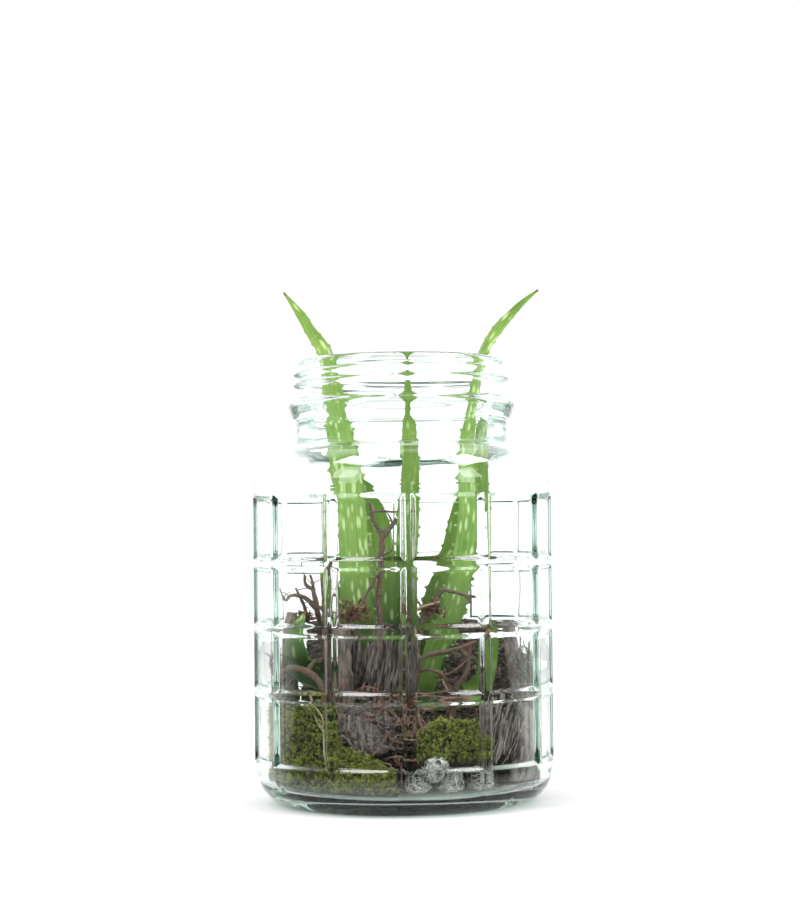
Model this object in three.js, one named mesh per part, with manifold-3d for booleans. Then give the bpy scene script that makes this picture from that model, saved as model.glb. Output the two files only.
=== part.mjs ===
// A glass plant terrarium: a ribbed screw-top jar without its lid that holds a spotted aloe,
// soil, moss, bark, driftwood, dry twigs and roots, and four crackled glass marbles.
// Millimetres, +Z up, the front towards -Y, the origin on the surface under the jar's axis.

import * as THREE from 'three';
import { mergeVertices } from 'three/addons/utils/BufferGeometryUtils.js';
import Module from 'manifold-3d';

const wasm = await Module();
wasm.setup();

// ---------------------------------------------------------------- driving dimensions

const FIT_GAP = 0.3;               // air between two pieces that touch on the real thing
const TURN_STEPS = 36;             // facets round the jar, a multiple of its ribs

const BODY_RADIUS = 61;            // over the crests of the rings and ribs
const PANEL_DEPTH = 1.4;           // the panels lie this far under the crests
const INNER_RADIUS = 56.8;
const FLOOR_HEIGHT = 6.5;          // top of the thick glass base
const FOOT_RADIUS = 46.5;
const PUSH_UP = 2.5;               // hollow under the foot
const PUSH_UP_RADIUS = 40;

const RIB_COUNT = 12;
const RIB_OFFSET = THREE.MathUtils.degToRad(2);   // the front rib stands a little to the right
const RING_HEIGHTS = [16.6, 46, 71.8, 97.8, 126.3];
const CREST_HALF = 1.1;
const BEVEL_HALF = 3;

const HEEL = { radius: 45.4, height: 15, reach: { radius: 14.8, height: 15 } };
const SHOULDER = { radius: 43.5, height: 128.5, reach: { radius: 17.5, height: 17 } };
const NECK = [[43.2, 147], [43.2, 155]];                                // as [radius, height]
const BEAD = [[44.9, 157.3], [46.5, 160.4], [46.5, 162.3], [42.4, 164.6]];
const THREAD = { radius: 43, pitch: 4.23, turns: 2, start: 168, ridge: 1.5, halfHeight: 1.1 };
const THREAD_STEPS = 18;           // facets in one turn of the thread
const RIM = [[42.4, 178.2], [41.9, 180.2], [40.9, 181], [39.7, 180.3]];
const MOUTH = { radius: 39.2, bottom: 150, top: 178.6 };
const NECK_SWELL = { radius: 39.6, height: 145.5 };   // the inside just under the mouth's bore

const MARBLE_RADIUS = 5.6;
const CROWN = { x: -1, y: 3, bottom: 24, top: 47, radius: 6.5 };
const TOOTH_PITCH = 7;             // along a leaf's edge
const TOOTH_HEIGHT = 0.8;

// ---------------------------------------------------------------- materials

const finish = (color, roughness) => new THREE.MeshStandardMaterial({ color, roughness, metalness: 0 });
const FINISHES = {
  glass: finish('#bfdccd', 0.05),
  leaf: finish('#5f9438', 0.45),
  crown: finish('#7f9a58', 0.6),
  soil: finish('#2e241d', 0.95),
  moss: finish('#5d6c24', 0.95),
  bark: finish('#6d5c50', 0.9),
  driftwood: finish('#8d827a', 0.85),
  twig: finish('#5b463c', 0.8),
  root: finish('#8a4737', 0.8),
  straw: finish('#c4b187', 0.7),
  marble: finish('#c9ced0', 0.1),
};

// ---------------------------------------------------------------- solids and their joining

// A closed geometry becomes a solid; triangles that collapse at a pole are dropped.
function solidFrom(geometry) {
  geometry.deleteAttribute('normal');
  geometry.deleteAttribute('uv');
  const merged = mergeVertices(geometry, 1e-4);
  const corners = [];
  const index = merged.index.array;
  for (let i = 0; i < index.length; i += 3) {
    const [a, b, c] = index.slice(i, i + 3);
    if (a !== b && b !== c && c !== a) corners.push(a, b, c);
  }
  return new wasm.Manifold(new wasm.Mesh({
    numProp: 3,
    vertProperties: new Float32Array(merged.attributes.position.array),
    triVerts: new Uint32Array(corners),
  }));
}

// Moves every vertex of a geometry to where place(x, y, z) says.
function reshape(geometry, place) {
  const { position } = geometry.attributes;
  for (let i = 0; i < position.count; i += 1) {
    const [x, y, z] = place(position.getX(i), position.getY(i), position.getZ(i));
    position.setXYZ(i, x, y, z);
  }
  return geometry;
}

// A profile of [radius, height] pairs turned about Z. Angles run from the front to the right.
function turned(profile) {
  const points = profile.map(([radius, height]) => new THREE.Vector2(radius, height));
  const lathe = new THREE.LatheGeometry(points, TURN_STEPS, RIB_OFFSET);
  return solidFrom(lathe.rotateX(Math.PI / 2));
}

// Points on an ellipse's arc, from one angle to another in degrees.
function arc(centre, reach, from, to, steps) {
  return Array.from({ length: steps + 1 }, (_, i) => {
    const angle = THREE.MathUtils.degToRad(from + ((to - from) * i) / steps);
    return [centre.radius + reach.radius * Math.cos(angle), centre.height + reach.height * Math.sin(angle)];
  });
}

// Straight-line reading of a list of [position, value] pairs.
function reading(pairs, at) {
  const next = pairs.findIndex(([position]) => position >= at);
  if (next < 0) return pairs[pairs.length - 1][1];
  if (next === 0) return pairs[0][1];
  const [[a, low], [b, high]] = [pairs[next - 1], pairs[next]];
  return THREE.MathUtils.lerp(low, high, (at - a) / (b - a));
}

// An even, repeatable unevenness between about -1 and 1 with lumps of the given size.
function unevenness(x, y, z, size) {
  const k = (2 * Math.PI) / size;
  const first = Math.sin(k * (0.83 * x + 0.41 * y) + 1.3) * Math.cos(k * (0.37 * y - 0.79 * z) + 0.4);
  const second = Math.sin(k * (1.31 * z - 0.53 * x) + 2.1) * Math.cos(k * (0.97 * y + 0.61 * x));
  return 0.6 * first + 0.4 * second;
}

// ---------------------------------------------------------------- swept pieces

const SECTION_STEPS = { twig: 5, leaf: 6, bark: 8 };

// Sweeps a section along a smooth path. outline(angle, t) gives the section's point as
// [sideways, forwards] in millimetres; facing is where the section's front looks.
function swept(path, facing, sides, rings, outline) {
  const points = path.map((point) => new THREE.Vector3(...point));
  const curve = new THREE.CatmullRomCurve3(points, false, 'centripetal');
  const front = new THREE.Vector3(...facing);
  const half = Math.PI / sides;
  const tube = new THREE.CylinderGeometry(1, 1, 1, sides, rings, false, half, 2 * Math.PI);
  return solidFrom(reshape(tube, (x, y, z) => {
    const t = THREE.MathUtils.clamp(y + 0.5, 0, 1);
    const along = curve.getTangentAt(t);
    const side = new THREE.Vector3().crossVectors(along, front).normalize();
    const ahead = new THREE.Vector3().crossVectors(side, along);
    const [u, v] = Math.hypot(x, z) < 0.5 ? [0, 0] : outline(Math.atan2(x, z), t);
    return curve.getPointAt(t).addScaledVector(side, u).addScaledVector(ahead, v).toArray();
  }));
}

// A round, tapering limb of a twig or root, from its thick end to its thin end.
function limb(path, thick, thin, grow) {
  const rings = path.length + 1;
  return swept(path, [0.31, -0.83, 0.46], SECTION_STEPS.twig, rings, (angle, t) => {
    const radius = THREE.MathUtils.lerp(thick, thin, t) + grow;
    return [radius * Math.sin(angle), radius * Math.cos(angle)];
  });
}

// Several limbs fused into one twig. Each limb is [path, thick radius, thin radius].
function twig(limbs) {
  return (grow) => limbs
    .map(([path, thick, thin]) => limb(path, thick, thin, grow))
    .reduce((whole, next) => whole.add(next));
}

// A flat piece of bark or wood: sizes is a list of [t, width, thickness], its face ridged.
function slab(path, facing, sizes) {
  const widths = sizes.map(([t, width]) => [t, width]);
  const depths = sizes.map(([t, , depth]) => [t, depth]);
  return (grow) => swept(path, facing, SECTION_STEPS.bark, 5, (angle, t) => {
    const ridge = 1 + 0.12 * unevenness(angle * 9, t * 40, t * 17, 13);
    const u = (reading(widths, t) / 2) * ridge + grow;
    const v = (reading(depths, t) / 2) * ridge + grow;
    return [u * Math.sin(angle) * 1.08, v * Math.cos(angle) * 1.08];
  });
}

// A toothed, channelled aloe leaf. sizes is a list of [t, width]; it is thickest at its foot.
function leaf(path, facing, sizes) {
  const points = path.map((point) => new THREE.Vector3(...point));
  const length = new THREE.CatmullRomCurve3(points, false, 'centripetal').getLength();
  const rings = 2 * Math.round(length / TOOTH_PITCH);
  return (grow) => swept(path, facing, SECTION_STEPS.leaf, rings, (angle, t) => {
    const width = reading(sizes, t);
    const depth = Math.max(0.9, Math.min(5.5 * (1 - t) + 1.2, width * 0.42)) + 2 * grow;
    const tooth = Math.round(t * rings) % 2 ? TOOTH_HEIGHT * Math.min(1, width / 7) * (1 - 0.6 * t) : 0;
    const isEdge = Math.abs(Math.sin(angle)) > 0.9;
    if (isEdge) return [Math.sign(Math.sin(angle)) * (width / 2 + tooth + 1.6 * grow), 0.3 * depth];
    const v = Math.cos(angle) > 0 ? 0.28 * depth : -0.66 * depth;
    return [Math.sin(angle) * (width / 2 + grow), v];
  });
}

// ---------------------------------------------------------------- the jar

const INNER_HEEL = { radius: 49.8, height: 13.5 };
const INNER_SHOULDER = { radius: 40.5, height: 127 };
const RIB_ROOT = 1;                // how far a rib is sunk into the wall under the panels
const RIB_CREST = 0.15;            // how far its crest lies under the rings' crests

// Half of the jar's inside from the middle of the floor up to the mouth, drawn in by inset.
function cavityProfile(inset) {
  const heelReach = INNER_RADIUS - INNER_HEEL.radius - inset;
  const shoulderReach = INNER_RADIUS - INNER_SHOULDER.radius - inset;
  return [
    [0, FLOOR_HEIGHT + inset],
    ...arc(INNER_HEEL, { radius: heelReach, height: heelReach }, -90, 0, 3),
    ...arc(INNER_SHOULDER, { radius: shoulderReach, height: shoulderReach }, 0, 75, 3),
    [NECK_SWELL.radius - inset, NECK_SWELL.height],
    [MOUTH.radius - inset, MOUTH.bottom],
    [MOUTH.radius - inset, MOUTH.top],
  ];
}

function ringProfile(height) {
  const panel = BODY_RADIUS - PANEL_DEPTH;
  return [
    [panel, height - BEVEL_HALF], [BODY_RADIUS, height - CREST_HALF],
    [BODY_RADIUS, height + CREST_HALF], [panel, height + BEVEL_HALF],
  ];
}

function jarProfile() {
  const [lowest, ...upper] = RING_HEIGHTS;
  const highest = upper.pop();
  return [
    [0, PUSH_UP], [PUSH_UP_RADIUS - 6, PUSH_UP], [PUSH_UP_RADIUS, 0], [FOOT_RADIUS, 0],
    ...arc(HEEL, HEEL.reach, -70, -8, 4),
    ...ringProfile(lowest).slice(1),
    ...upper.flatMap(ringProfile),
    ...ringProfile(highest).slice(0, 3),
    ...arc(SHOULDER, SHOULDER.reach, 12, 84, 4),
    ...NECK, ...BEAD, ...RIM,
    ...cavityProfile(0).reverse(),
  ];
}

function rib(number) {
  const root = BODY_RADIUS - PANEL_DEPTH - RIB_ROOT;
  const crest = BODY_RADIUS - RIB_CREST;
  const spread = BEVEL_HALF + (BEVEL_HALF - CREST_HALF) / PANEL_DEPTH;
  const section = new THREE.Shape([
    new THREE.Vector2(-CREST_HALF, -crest), new THREE.Vector2(CREST_HALF, -crest),
    new THREE.Vector2(spread, -root), new THREE.Vector2(-spread, -root),
  ]);
  const lowest = RING_HEIGHTS[0];
  const depth = RING_HEIGHTS[RING_HEIGHTS.length - 1] - lowest;
  const bar = new THREE.ExtrudeGeometry(section, { depth, bevelEnabled: false });
  return solidFrom(bar.translate(0, 0, lowest).rotateZ(RIB_OFFSET + (number * 2 * Math.PI) / RIB_COUNT));
}

// A right-handed ridge that runs out into the neck at both ends.
function thread() {
  const steps = THREAD.turns * THREAD_STEPS;
  const height = THREAD.turns * THREAD.pitch;
  const path = Array.from({ length: steps + 1 }, (_, i) => {
    const t = i / steps;
    const angle = t * THREAD.turns * 2 * Math.PI;
    const radius = THREAD.radius - THREAD.ridge * Math.max(0, 1 - 12 * t, 12 * t - 11);
    return [radius * Math.cos(angle), radius * Math.sin(angle), THREAD.start + height * t];
  });
  return swept(path, [0, 0, 1], SECTION_STEPS.leaf, steps, (angle) => [
    THREAD.ridge * Math.sin(angle), THREAD.halfHeight * Math.cos(angle)]);
}

function makeJar() {
  const ribs = Array.from({ length: RIB_COUNT }, (_, number) => rib(number));
  return [...ribs, thread()].reduce((whole, next) => whole.add(next), turned(jarProfile()));
}

// ---------------------------------------------------------------- soil and moss

// How far the soil reaches at an angle in degrees from the front, positive to the right.
// In front it leaves room for the moss, the marbles and the driftwood.
const SOIL_REACH = [
  [-180, 56.4], [-132, 56.4], [-118, 44], [-85, 43], [-3, 43], [6, 37.3], [45, 37.3],
  [53, 43.5], [78, 43.5], [92, 56.4], [180, 56.4],
];
const SOIL_LEVELS = 50;            // parts the outline's heights in millimetres from its shares
const SOIL_HEIGHTS = [[-57, 33], [-20, 36], [2, 40], [20, 58], [36, 69], [57, 73]];  // front to back

function soilTop(x, y) {
  return reading(SOIL_HEIGHTS, y) + 1.6 * unevenness(x, y, 0, 17) + 0.9 * unevenness(y, x, 9, 8);
}

// Half of the mound's outline as [share of the reach, height over the floor or share of the top].
const SOIL_UNDERSIDE = [[0, 0], [0.6, 0], [0.87, 0], [0.95, 1.6], [0.99, 4], [1, 7]];
const SOIL_UPPER = [[1, 0.7], [1, 1], [0.8, 1], [0.58, 1], [0.3, 1], [0, 1]];

function makeSoil() {
  const outline = [...SOIL_UNDERSIDE, ...SOIL_UPPER.map(([share, level]) => [share, level + SOIL_LEVELS])];
  const points = outline.map(([radius, height]) => new THREE.Vector2(radius, height));
  const mound = new THREE.LatheGeometry(points, TURN_STEPS, RIB_OFFSET).rotateX(Math.PI / 2);
  return solidFrom(reshape(mound, (x, y, z) => {
    const degrees = THREE.MathUtils.radToDeg(Math.atan2(x, -y));
    const isUpper = z > SOIL_LEVELS;
    const clods = isUpper ? 0.9 * unevenness(60 * x, 60 * y, 60 * z, 11) - 0.9 : 0;
    const reach = reading(SOIL_REACH, degrees) + clods;
    const bottom = FLOOR_HEIGHT + FIT_GAP;
    const top = soilTop(x * reach, y * reach);
    const height = isUpper ? THREE.MathUtils.lerp(bottom, top, z - SOIL_LEVELS) : bottom + z;
    return [x * reach, y * reach, height];
  }));
}

// A cushion of moss against the glass. tops is a list of [degrees, height].
function mossBank({ inner, floor, tops, steps }) {
  const from = tops[0][0];
  const sweep = tops[tops.length - 1][0] - from;
  const [, ...wallProfile] = cavityProfile(2 * FIT_GAP);
  const wall = wallProfile.map(([radius, height]) => [height, radius]);
  return () => solidFrom(reshape(new THREE.BoxGeometry(1, 1, 1, steps, 2, 5), (x, y, z) => {
    const degrees = from + (x + 0.5) * sweep;
    const angle = THREE.MathUtils.degToRad(degrees);
    const tufts = unevenness(50 * angle, 40 * y, 50 * z, 9);
    const top = reading(tops, degrees) - 2.5 * (y + 0.5) + 1.3 * tufts;
    const height = THREE.MathUtils.lerp(floor, top, z + 0.5);
    const reach = THREE.MathUtils.lerp(reading(wall, height), inner, y + 0.5);
    const radius = reach + (y > 0.4 ? 0.5 * tufts : 0);
    return [radius * Math.sin(angle), -radius * Math.cos(angle), height];
  }));
}

const makeMossLeft = mossBank({
  inner: 43.8,
  floor: FLOOR_HEIGHT + 2 * FIT_GAP,
  steps: 19,
  tops: [[-117, 26], [-104, 38], [-84, 45], [-34, 45], [-26, 29], [-14, 24], [-3.5, 19]],
});
const makeMossRight = mossBank({
  inner: 38.2,
  floor: 20,
  steps: 7,
  tops: [[4, 33], [14, 39], [30, 38], [37, 31]],
});

// ---------------------------------------------------------------- the aloe

const FRONT = [0, -1, 0.12];
const FRONT_LEFT = [-0.35, -0.93, 0.1];
const FRONT_RIGHT = [0.3, -0.95, 0.1];

function makeCrown(grow) {
  const { x, y, bottom, top, radius } = CROWN;
  const path = [[x, y, bottom], [x, y, (bottom + top) / 2], [x, y, top]];
  return swept(path, [0, -1, 0], 8, 3, (angle, t) => {
    const width = radius * (0.8 + 0.45 * t - 0.55 * t ** 3) + grow;
    return [width * Math.sin(angle), width * Math.cos(angle)];
  });
}

const LEAVES = {
  leaf_left_tall: leaf([
    [-9.5, -4, 38], [-14, -7, 58], [-18.5, -9, 82], [-19.8, -8, 105], [-21, -6, 125],
    [-23.2, -4, 141], [-26, -2, 157], [-28.8, -1, 173], [-30.9, 0, 184], [-36.3, 1, 192.3],
    [-41, 2, 200], [-48.1, 3, 209.5],
  ], FRONT_LEFT, [
    [0, 11], [0.25, 13], [0.45, 14], [0.6, 13], [0.72, 9.5], [0.83, 6], [0.93, 3.9], [1, 0.9]]),
  leaf_right_tall: leaf([
    [6, -3.5, 38], [9, -7, 50], [13, -9, 64], [19, -10, 76], [22.3, -10, 90], [25, -9, 102],
    [26.6, -8, 116], [26.2, -6, 132], [27, -4, 150], [29.8, -2, 166.4], [31.6, -1, 176],
    [34.1, 0, 184], [38.7, 1, 191.7], [44.1, 2, 198], [50.3, 2, 204.2], [57, 2, 209.5],
  ], FRONT_RIGHT, [
    [0, 9], [0.15, 9.6], [0.4, 9.4], [0.55, 7.5], [0.66, 5], [0.78, 3.9], [0.88, 4.2], [0.95, 2.6], [1, 0.8]]),
  leaf_centre: leaf([
    [0, 11, 41], [0.4, 12, 70], [1.2, 11.5, 100], [2.8, 10, 125], [3.4, 8, 140], [3.2, 6, 155],
    [2.8, 4, 168], [2.6, 2, 179],
  ], FRONT, [[0, 8], [0.4, 7.6], [0.6, 8.2], [0.74, 7.6], [0.86, 5], [1, 0.9]]),
  leaf_left_behind: leaf([
    [-8, 5, 40], [-8.5, 5, 60], [-9, 4.5, 80], [-9.2, 5, 95], [-10.5, 6, 110], [-13, 7, 123],
    [-17, 8, 137],
  ], FRONT, [[0, 10], [0.2, 12.5], [0.5, 13.5], [0.75, 11], [0.88, 7], [1, 0.9]]),
  leaf_right_behind: leaf([
    [7.5, 7, 40], [9.5, 7.5, 60], [13, 7.5, 80], [17, 7, 92], [20.5, 6, 104], [22.8, 5, 118],
    [25.4, 5, 134],
  ], FRONT, [[0, 9], [0.3, 10], [0.6, 9], [0.8, 6.5], [1, 0.9]]),
  leaf_right_second: leaf([
    [8.5, 1.5, 38], [14, 0, 58], [18.8, -1, 70], [22, -1.5, 82], [24.8, -1.5, 93], [28, -1, 104],
    [31, -0.5, 117], [32.5, 0, 132], [33, 1, 150], [36, 2, 167],
  ], FRONT, [[0, 6], [0.25, 7.6], [0.6, 7], [0.8, 6.2], [0.92, 4.4], [1, 0.9]]),
  leaf_left_low: leaf([
    [-10, 0, 40], [-21, -10, 46], [-33, -18, 51], [-40.5, -22.5, 58], [-42, -25, 68], [-38.5, -26, 79],
  ], [-0.5, -0.8, 0.6], [[0, 8], [0.4, 10.5], [0.75, 10.5], [0.9, 6], [1, 0.9]]),
  leaf_right_low: leaf([
    [6, -9.5, 40], [15, -15, 42], [25, -20, 45], [31.5, -23.5, 52], [34, -25.5, 62], [36, -27, 73],
  ], [0.5, -0.8, 0.6], [[0, 7], [0.4, 8], [0.75, 7], [0.9, 4.4], [1, 0.9]]),
  leaf_left_back: leaf([
    [-9.5, 11, 46], [-17, 11.5, 60], [-24, 11, 74], [-30, 10, 86], [-34, 9, 97],
  ], FRONT, [[0, 8], [0.4, 10.5], [0.75, 8.5], [1, 0.9]]),
};

// ---------------------------------------------------------------- bark, wood, twigs and roots

const WOOD = {
  bark_left: slab([[-44, -5, 33], [-46, -6, 48], [-46.5, -7, 62], [-45, -8, 78]], [-0.9, -0.4, 0],
    [[0, 13, 5], [0.5, 14, 5.5], [1, 10, 4.5]]),
  bark_mid: slab([[-23, -31.5, 31], [-24, -33, 45], [-24.5, -33.5, 60], [-23.5, -33, 73]], [-0.4, -0.9, 0],
    [[0, 9, 5], [0.5, 9.5, 5.5], [1, 8, 4]]),
  bark_front: slab([[-9, -27, 31], [-10, -28.5, 46], [-10, -29, 60], [-9, -29, 72]], [-0.1, -1, 0],
    [[0, 7, 4.5], [0.5, 7.5, 5], [1, 6, 4]]),
  bark_lump: slab([[-25, -43, 39], [-18.5, -46.5, 37], [-12, -48.5, 32], [-7.5, -49.5, 25]], [0, -1, 0.1],
    [[0, 10, 8], [0.4, 15, 9], [0.8, 13, 8.5], [1, 7, 6]]),
  driftwood: slab([[42, -12, 73], [44, -15, 56], [47.3, -20, 38], [48, -23.5, 24], [44.5, -22.5, 12]],
    [0.87, -0.48, 0], [[0, 7, 5], [0.4, 9, 6], [0.75, 15, 6.5], [1, 14, 6]]),
};

const TWIGS = {
  twig_fork: twig([
    [[[-7, -18, 30], [-8, -17, 50], [-9, -16, 72], [-9.7, -15.5, 82], [-9, -15, 94], [-8.4, -15, 108]],
      1.3, 1.05],
    [[[-8.4, -15, 107.6], [-5.8, -15, 111], [-2, -15, 115.4]], 1.05, 0.8],
    [[[-8.4, -15, 107.6], [-10.2, -15, 111.6], [-11.9, -15.5, 116], [-12.6, -15.5, 121.8]], 0.95, 0.6],
    [[[-8.6, -15, 98.6], [-6.6, -15.2, 100.4], [-3.9, -15.5, 102.7]], 0.8, 0.5],
    [[[-12.2, -15.5, 118.3], [-7, -16, 118.5], [-1.8, -16.5, 118.2]], 0.6, 0.5],
  ]),
  twig_bud: twig([
    [[[-27, -24, 29], [-29, -25.5, 52], [-30.6, -27, 74], [-30.5, -28, 84], [-30.6, -28, 92]], 1.3, 1],
    [[[-30.6, -28, 91.4], [-29.2, -28, 96], [-28, -28, 99.6], [-27.6, -28, 104]], 1, 0.55],
    [[[-27.7, -28, 102.6], [-27.4, -28, 104.6], [-27.1, -28, 106.6]], 1.2, 0.6],
  ]),
  twig_left: twig([
    [[[-23, -4, 32], [-27.5, -6, 50], [-33, -14, 72], [-34.2, -21, 80], [-35.8, -21.5, 87.7]], 1.3, 1],
    [[[-35.7, -21.5, 87.2], [-38.6, -21.5, 89.4], [-39, -21.5, 93.8]], 0.9, 0.5],
    [[[-35.8, -21.5, 86.8], [-36, -21.5, 90], [-36.7, -21.5, 94]], 0.8, 0.5],
    [[[-34.2, -21, 79.6], [-39.4, -21.6, 84.5], [-44.2, -22, 85.3], [-46.2, -22, 83.3], [-48.6, -21, 88.1]],
      1, 0.5],
    [[[-34.2, -21, 80], [-32.6, -21.2, 80.4], [-31.1, -21.5, 79.6]], 0.8, 0.5],
    [[[-37.8, -17.5, 74], [-39, -20, 80.5], [-40.8, -21.8, 84.8], [-42.6, -22, 88.3]], 0.9, 0.5],
  ]),
  twig_right: twig([
    [[[2, -23, 30], [3, -22, 52], [6, -21, 68], [10, -20.5, 77], [13.5, -20, 82.5]], 1.2, 0.9],
    [[[13.3, -20, 82], [15.9, -20, 86.5], [19.1, -20, 86.1], [23.1, -20, 84.9], [28.7, -20, 84.1]], 0.9, 0.5],
    [[[9.6, -20.5, 76.4], [7.2, -21, 80.5], [5, -21.5, 82.6]], 0.8, 0.5],
    [[[24.6, -20, 84.5], [26.2, -20.4, 83.2], [26.8, -20.6, 81.8]], 0.6, 0.5],
    [[[5.6, -21, 67], [1.6, -22, 77], [0.6, -23, 86]], 0.8, 0.5],
    [[[10.8, -20.4, 78], [8.6, -22, 79.4], [5.4, -23, 79.2]], 0.7, 0.5],
  ]),
  root_arch: twig([
    [[[-50, -19, 38], [-49, -24, 50], [-44, -30.5, 56.5], [-37, -36, 55.5], [-31.5, -39.5, 49],
      [-30.5, -40, 39]], 1.6, 1.2],
    [[[-37.5, -35.6, 55.3], [-34.5, -34, 59.5], [-31.6, -33.5, 61]], 1, 0.6],
  ]),
  root_right: twig([
    [[[3.5, -31, 30], [4, -33, 48], [7.2, -34, 60.6], [14.8, -33.6, 62.7], [21.1, -33, 63.9], [28.5, -31, 67]],
      1.2, 1.1],
    [[[22, -33, 64], [25.2, -33.4, 59.8], [24.4, -33.4, 54.8], [21, -33.4, 49.4], [19, -32, 40], [18, -30, 29]],
      1.1, 1.2],
    [[[26, -31.6, 65.6], [24.2, -33.4, 59], [17, -34, 53.8], [13.4, -34, 52.6]], 0.9, 0.6],
    [[[4.6, -33.3, 55], [9.8, -34.2, 55.8], [14.4, -34.2, 54.2], [17.4, -34, 49.6], [17, -33, 38]], 0.8, 0.9],
  ]),
  rootlets_centre: twig([
    [[[-3, -40, 36], [-3, -45, 38], [-1.5, -48.5, 36.5], [3, -50, 31]], 0.9, 0.7],
    [[[-2, -48, 37], [-6, -52, 33], [-9, -52.6, 28], [-12.4, -52, 24]], 0.8, 0.5],
    [[[-3, -45, 38], [-7, -49, 41.6], [-12, -49.5, 43.5]], 0.8, 0.5],
    [[[-6.4, -52, 32.6], [-4, -52.6, 30], [1.4, -52.6, 28.6]], 0.6, 0.5],
  ]),
  rootlets_right: twig([
    [[[3, -35, 37], [4.2, -42, 43.5], [6, -47.5, 36], [9.6, -50.8, 28.4], [16.4, -51.4, 25.4]], 1, 0.6],
    [[[4, -41, 43], [9.6, -44, 41], [14.8, -44.5, 44.8], [22, -42.5, 45.6]], 0.9, 0.6],
    [[[14.6, -44.4, 44.6], [16.6, -40, 47.8], [15, -36.5, 52]], 0.7, 0.5],
    [[[22, -42.5, 45.4], [27, -40, 43.6], [33, -36.5, 43]], 0.6, 0.5],
  ]),
  straw_left: twig([
    [[[-31.4, -43, 33], [-31, -44.5, 38], [-33.8, -42, 42.4], [-36.4, -39, 47.5]], 0.6, 0.5],
    [[[-30.6, -43.6, 32], [-35, -41, 40], [-38.5, -38, 44.5]], 0.6, 0.5],
    [[[-29.6, -46, 20], [-30.4, -45, 28], [-31, -44, 36]], 0.8, 0.6],
  ]),
  straw_right: twig([
    [[[5, -26, 30], [4.4, -25.5, 56], [4.6, -24.5, 79]], 0.7, 0.6],
    [[[3, -24.6, 77.6], [8, -24.2, 80.6], [14.6, -24, 82.2]], 0.5, 0.5],
  ]),
};

// ---------------------------------------------------------------- the marbles

const MARBLE_RING = 43.5;          // from the jar's axis to the marbles on its floor
const MARBLE_HEIGHT = FLOOR_HEIGHT + MARBLE_RADIUS + FIT_GAP;
const onFloor = (x) => [x, -Math.sqrt(MARBLE_RING ** 2 - x ** 2), MARBLE_HEIGHT];
const MARBLES = [[11.6, -49.5, 19.6], onFloor(4.9), onFloor(17.4), onFloor(29.2)];

function marble([x, y, z]) {
  return (grow) => solidFrom(new THREE.IcosahedronGeometry(MARBLE_RADIUS + grow, 2).translate(x, y, z));
}

// ---------------------------------------------------------------- assembly

const terrarium = new THREE.Group();
const seated = [];                 // each piece already placed, drawn out by the fit gap

// Adds a piece, cut clear of everything that was placed before it.
function place(name, make, material) {
  const solid = seated.reduce((rest, sleeve) => rest.subtract(sleeve), make(0)).simplify(0.01);
  const [whole] = solid.decompose().sort((a, b) => b.volume() - a.volume());
  seated.push(make(FIT_GAP));
  const { vertProperties, triVerts } = whole.getMesh();
  const geometry = new THREE.BufferGeometry();
  geometry.setAttribute('position', new THREE.BufferAttribute(vertProperties, 3));
  geometry.setIndex(new THREE.BufferAttribute(triVerts, 1));
  geometry.computeVertexNormals();
  const mesh = new THREE.Mesh(geometry, material);
  mesh.name = name;
  terrarium.add(mesh);
}

const cavity = turned([...cavityProfile(FIT_GAP), [0, MOUTH.top]]);
const inJar = (make) => (grow) => make(grow).intersect(cavity);

MARBLES.forEach((centre, i) => place(`marble_${i + 1}`, marble(centre), FINISHES.marble));
place('aloe_crown', makeCrown, FINISHES.crown);
Object.entries(LEAVES).forEach(([name, make]) => place(name, make, FINISHES.leaf));
place('driftwood', inJar(WOOD.driftwood), FINISHES.driftwood);
Object.entries(TWIGS).forEach(([name, make]) => {
  const kind = Object.keys(FINISHES).find((finishName) => name.startsWith(finishName));
  place(name, make, FINISHES[kind]);
});
Object.entries(WOOD).filter(([name]) => name !== 'driftwood')
  .forEach(([name, make]) => place(name, inJar(make), FINISHES.bark));
place('moss_left', makeMossLeft, FINISHES.moss);
place('moss_right', makeMossRight, FINISHES.moss);
place('soil', makeSoil, FINISHES.soil);
seated.length = 0;
place('jar', makeJar, FINISHES.glass);

export default terrarium;
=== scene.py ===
# %% [markdown]
# # A glass plant terrarium
# The object is a pressed-glass screw-top jar without its lid. It holds soil, moss, bark, dry twigs,
# four crackled marbles and a toothed, spotted aloe with two leaves that rise past the rim. The packed
# solids are the fixed frame: every piece below stands where its solid stands, with a finer shape and a
# finish of its own. Lengths in the tables are millimetres, and MM turns them into Blender's metres.

# %% The frame
import math
import random

import bmesh
import bpy
from mathutils import Matrix, Vector, noise


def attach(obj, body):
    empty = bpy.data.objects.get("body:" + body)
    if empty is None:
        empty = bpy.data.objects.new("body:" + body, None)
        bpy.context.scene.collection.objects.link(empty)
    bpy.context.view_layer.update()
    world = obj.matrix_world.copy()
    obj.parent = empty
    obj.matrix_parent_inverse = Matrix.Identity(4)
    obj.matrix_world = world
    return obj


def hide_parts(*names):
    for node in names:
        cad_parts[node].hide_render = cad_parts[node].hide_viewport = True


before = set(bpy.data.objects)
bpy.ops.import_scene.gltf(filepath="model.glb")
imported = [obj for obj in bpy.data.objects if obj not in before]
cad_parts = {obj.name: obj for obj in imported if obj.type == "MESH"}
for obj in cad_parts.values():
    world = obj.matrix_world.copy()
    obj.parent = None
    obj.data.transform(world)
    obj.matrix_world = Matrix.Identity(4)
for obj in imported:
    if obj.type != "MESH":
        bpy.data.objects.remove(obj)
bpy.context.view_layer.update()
MM = 0.001
scene = bpy.context.scene

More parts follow.
